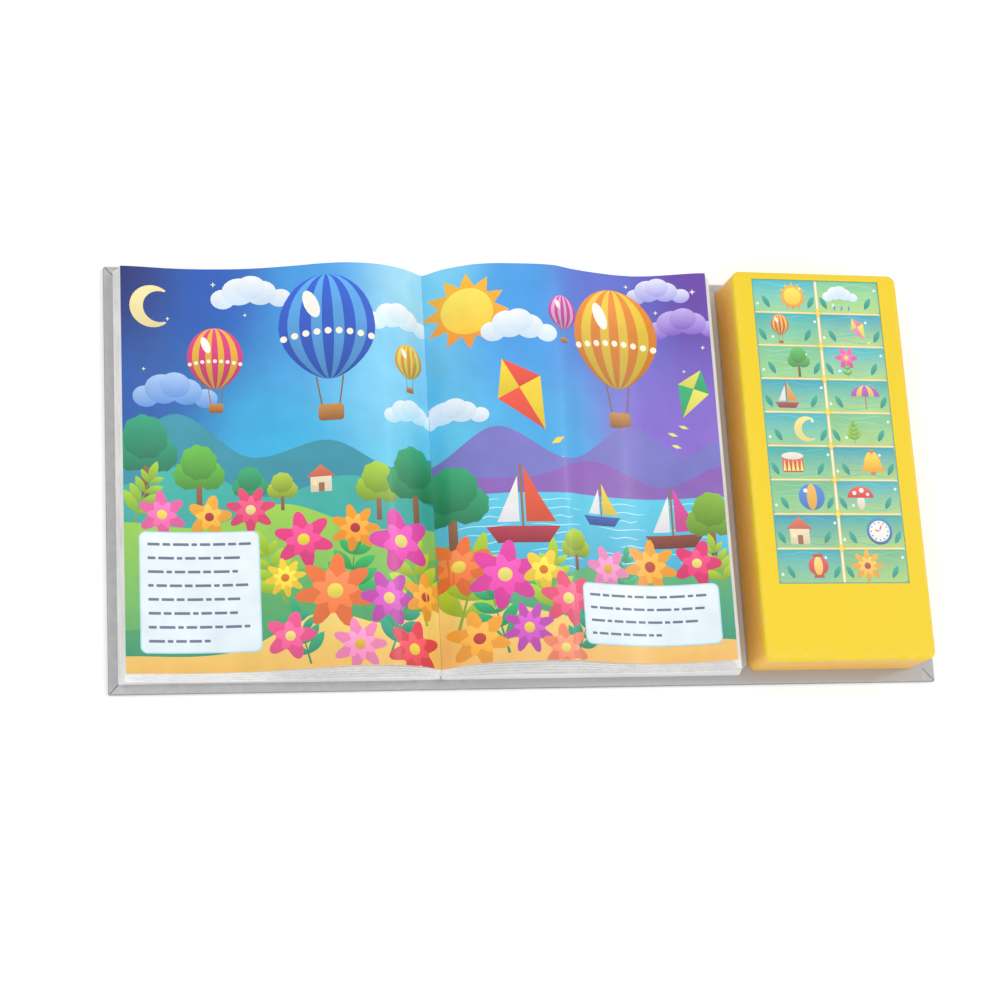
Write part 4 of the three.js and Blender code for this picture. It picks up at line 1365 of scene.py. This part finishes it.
class OBJECT_OT_book_film(bpy.types.Operator):
    """Make the film over the keys, with its grid and eighteen small pictures."""

    bl_idname = "object.book_film"
    bl_label = "Picture film"

    def execute(self, context):
        low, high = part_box("picture_film")
        film = block("film", low, high)
        pick(film)
        bpy.ops.object.mode_set(mode="EDIT")
        bpy.ops.mesh.select_all(action="SELECT")
        bpy.ops.mesh.subdivide(number_cuts=5)
        bpy.ops.object.mode_set(mode="OBJECT")
        bevel_edges(film, 0.1 * MM)
        base = film.data.color_attributes.new("ink", "FLOAT_COLOR", "POINT")
        for index in range(len(film.data.vertices)):
            base.data[index].color = (0.10, 0.50, 0.52, 1)
        rows, columns = 9, 2
        across = (high.x - low.x) / columns
        up = (high.y - low.y) / rows
        ink = Ink("pictures")
        line = 0.55 * MM
        for row in range(rows):
            for column in range(columns):
                x0, y1 = low.x + across * column, high.y - up * row
                x, y = x0 + across / 2, y1 - up / 2
                top, foot = cell_colours(row, column)
                ink.lay(bar(x0 + line, y1 - up + line, x0 + across - line, y1 - line, 2.2 * MM),
                        top, foot)
                for strand in range(5):
                    ripple(ink, x0 + 2 * MM, x0 + across - 2 * MM,
                           y1 - up * (0.14 + 0.18 * strand), 0.9 * MM, 0.55 * MM,
                           [min(1, c * 1.18 + 0.06) for c in top],
                           row * 1.3 + column * 2.1 + strand * 1.9)
                shift = 0.12 * across * (-1) ** (row + column)
                for side in (-1, 1):
                    ink.lay(blade(x + shift * 0.4 + side * 0.3 * across, y1 - up * 0.86,
                                  0.42 * up, 0.08 * up, 1.57 - side * 0.5),
                            (0.05, 0.45, 0.3), (0.02, 0.28, 0.25))
                    ink.lay(ring(x - shift * 0.8 + side * 0.34 * across, y + 0.24 * up * side,
                                 0.9 * MM, None, 14), (0.80, 0.95, 0.93))
                motif, aside, above, share, *rest = PICTURES[row][column]
                cell = Brush(ink, x + shift, y, 0.4416 * up)
                motif(cell.part(aside, above, share), *rest)
        pale, warm = (0.96, 0.90, 0.66), (0.95, 0.62, 0.18)
        middle = (low.x + high.x) / 2
        end = 0.6 * MM
        for row in range(1, rows):
            y = high.y - up * row
            for half, tone in ((0.62 * MM, warm), (0.22 * MM, pale)):
                ink.lay(bar(low.x + end, y - half, high.x - end, y + half), tone)
        for half, tone in ((0.95 * MM, warm), (0.6 * MM, pale)):
            ink.lay(bar(middle - half, low.y + end, middle + half, high.y - end), tone)
        for row in range(1, rows):
            y = high.y - up * row
            ink.lay(star(middle, y, 3.1 * MM, 1.5 * MM, 4), (0.97, 0.55, 0.08))
            ink.lay(star(middle, y, 2.5 * MM, 1.15 * MM, 4), (1.0, 0.86, 0.12),
                    (1.0, 0.72, 0.06))
        pictures = ink.whole()
        for vertex in pictures.data.vertices:
            vertex.co.z += high.z
        piece = smooth(join([film, pictures], "picture_sheet"), 40)
        give(piece, printed("film print", coat=0.2, rough=0.38))
        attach(piece, "back_cover")
        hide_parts("picture_film")
        return {"FINISHED"}


KEYS = [f"key_row{row}_{side}" for row in range(1, 10) for side in ("left", "right")]

# Each finish inside the module: name, colour, roughness, metal, coat, and what it is on
INSIDES = (
    ("cream plastic", (0.80, 0.78, 0.70), 0.4, 0.0, 0.0, KEYS),
    ("grey rubber", (0.22, 0.23, 0.25), 0.7, 0.0, 0.0, ["switch_mat"]),
    ("green laminate", (0.02, 0.22, 0.07), 0.4, 0.0, 0.4, ["circuit_board"]),
    ("black resin", (0.02, 0.02, 0.022), 0.45, 0.0, 0.2, ["sound_chip"]),
    ("card", (0.05, 0.05, 0.055), 0.8, 0.0, 0.0, ["speaker_cone"]),
    ("plated steel", (0.62, 0.62, 0.64), 0.35, 1.0, 0.0,
     ["speaker_basket", "plain_contact", "spring_contact", "door_screw"]
     + [f"{kind}_screw_{end}_{side}" for kind in ("housing", "circuit")
        for end in ("lower", "upper") for side in ("left", "right")]),
    ("magnet", (0.20, 0.20, 0.21), 0.45, 0.8, 0.0, ["speaker_magnet"]),
    ("cell steel", (0.72, 0.72, 0.73), 0.25, 1.0, 0.0,
     ["button_cell_first", "button_cell_second", "button_cell_third"]),
    ("red insulation", (0.6, 0.02, 0.02), 0.45, 0.0, 0.1,
     ["battery_wire_red", "speaker_wire_red"]),
    ("black insulation", (0.015, 0.015, 0.016), 0.45, 0.0, 0.1,
     ["battery_wire_black", "speaker_wire_black"]),
)


class OBJECT_OT_book_insides(bpy.types.Operator):
    """Finish what is inside the module, and the battery door below."""

    bl_idname = "object.book_insides"
    bl_label = "Inside the module"

    def execute(self, context):
        for name, colour, rough, metal, coat, nodes in INSIDES:
            material = Finish(name, colour, rough, 1800, 0.00002, tint=0.06, rub=0.3,
                              metal=metal, coat=coat).done()
            for node in nodes:
                give(NODES[node], material)
        for node in ("battery_door", "switch_mat", "circuit_board"):
            ease(NODES[node], 0.2 * MM)
        for node in KEYS:
            ease(NODES[node], 0.25 * MM)
        give(NODES["battery_door"], moulded("orange plastic", colours().tray))
        return {"FINISHED"}


class OBJECT_OT_book_stage(bpy.types.Operator):
    """Make the floor, the lamps, the world and the camera."""

    bl_idname = "object.book_stage"
    bl_label = "Stage"

    def execute(self, context):
        scene = context.scene
        deselect_all()
        bpy.ops.mesh.primitive_plane_add(size=6, location=(0, 0, -0.2 * MM))
        floor = settle(bpy.context.object)
        floor.name = "floor"
        white = bpy.data.materials.new("floor white")
        white.use_nodes = True
        tree = Tree(white.node_tree)
        white.node_tree.nodes.clear()
        place = tree.add("ShaderNodeTexCoord").outputs["Object"]
        surface = tree.add("ShaderNodeGroup", node_tree=grain_group())
        tree.link(place, surface.inputs[0])
        shader = tree.add("ShaderNodeBsdfPrincipled")
        tree.link(tree.mix(tree.span(surface.outputs[1], *NOISE_SPAN), (0.90, 0.90, 0.90),
                           (0.92, 0.92, 0.92)), shader.inputs["Base Color"])
        shader.inputs["Roughness"].default_value = 0.9
        shader.inputs["Emission Color"].default_value = (1, 1, 1, 1)
        seen = tree.add("ShaderNodeLightPath").outputs["Is Camera Ray"]
        tree.link(tree.maths("MULTIPLY", seen, 0.2), shader.inputs["Emission Strength"])
        tree.link(shader.outputs[0], tree.add("ShaderNodeOutputMaterial").inputs[0])
        give(floor, white)

        world = bpy.data.worlds.new("studio")
        scene.world = world
        world.use_nodes = True
        world.node_tree.nodes.clear()
        tree = Tree(world.node_tree)
        path = tree.add("ShaderNodeLightPath").outputs
        seen = tree.maths("ADD", path["Is Camera Ray"], path["Is Glossy Ray"], clamp=True)
        seen = tree.maths("ADD", seen, path["Is Transmission Ray"], clamp=True)
        strength = tree.span(seen, 0.0, 1.0, 0.78, 1.0)
        back = tree.add("ShaderNodeBackground", {"Color": (1, 1, 1, 1), "Strength": strength})
        tree.link(back.outputs[0], tree.add("ShaderNodeOutputWorld").inputs[0])

        for name, way, power, spread in (
                ("window lamp", (-0.62, -0.18, -0.76), 0.6, 12),
                ("fill lamp", (0.62, 0.45, -0.64), 0.5, 60)):
            lamp = bpy.data.lights.new(name, "SUN")
            lamp.energy = power
            lamp.angle = math.radians(spread)
            holder = bpy.data.objects.new(name, lamp)
            holder.rotation_euler = Vector(way).to_track_quat("-Z", "Y").to_euler()
            scene.collection.objects.link(holder)

        eye = bpy.data.cameras.new("photograph's view")
        eye.sensor_width = CAMERA_SENSOR
        eye.lens = CAMERA_LENS
        holder = bpy.data.objects.new("photograph's view", eye)
        right = Vector(CAMERA_RIGHT)
        up = Vector(CAMERA_UP)
        back = right.cross(up).normalized()
        turn = Matrix((right, up, back)).transposed().to_4x4()
        holder.matrix_world = Matrix.Translation(CAMERA_PLACE) @ turn
        scene.collection.objects.link(holder)
        scene.camera = holder
        scene.view_settings.view_transform = "Standard"
        return {"FINISHED"}


OPERATORS = (
    OBJECT_OT_book_cases,
    OBJECT_OT_book_hinges,
    OBJECT_OT_book_papers,
    OBJECT_OT_book_leaves,
    OBJECT_OT_book_pages,
    OBJECT_OT_book_module,
    OBJECT_OT_book_film,
    OBJECT_OT_book_insides,
    OBJECT_OT_book_stage,
)


class VIEW3D_PT_sound_book(bpy.types.Panel):
    """Lists the book's sizes, colours and pieces."""

    bl_idname = "VIEW3D_PT_sound_book"
    bl_label = "Sound Book"
    bl_space_type = "VIEW_3D"
    bl_region_type = "UI"
    bl_category = "Sound Book"

    def draw(self, context):
        layout = self.layout
        for held in (context.scene.book_sizes, context.scene.book_colours):
            for name in held.__annotations__:
                layout.prop(held, name)
        for operator in OPERATORS:
            layout.operator(operator.bl_idname)


CLASSES = (BookSizes, BookColours, *OPERATORS, VIEW3D_PT_sound_book)


def register():
    for kind in CLASSES:
        bpy.utils.register_class(kind)
    bpy.types.Scene.book_sizes = bpy.props.PointerProperty(type=BookSizes)
    bpy.types.Scene.book_colours = bpy.props.PointerProperty(type=BookColours)


def unregister():
    del bpy.types.Scene.book_sizes
    del bpy.types.Scene.book_colours
    for kind in reversed(CLASSES):
        bpy.utils.unregister_class(kind)


def main():
    register()
    bpy.ops.object.book_cases()
    bpy.ops.object.book_hinges()
    bpy.ops.object.book_papers()
    bpy.ops.object.book_leaves()
    bpy.ops.object.book_pages()
    bpy.ops.object.book_module()
    bpy.ops.object.book_film()
    bpy.ops.object.book_insides()
    bpy.ops.object.book_stage()


if __name__ == "__main__":
    main()
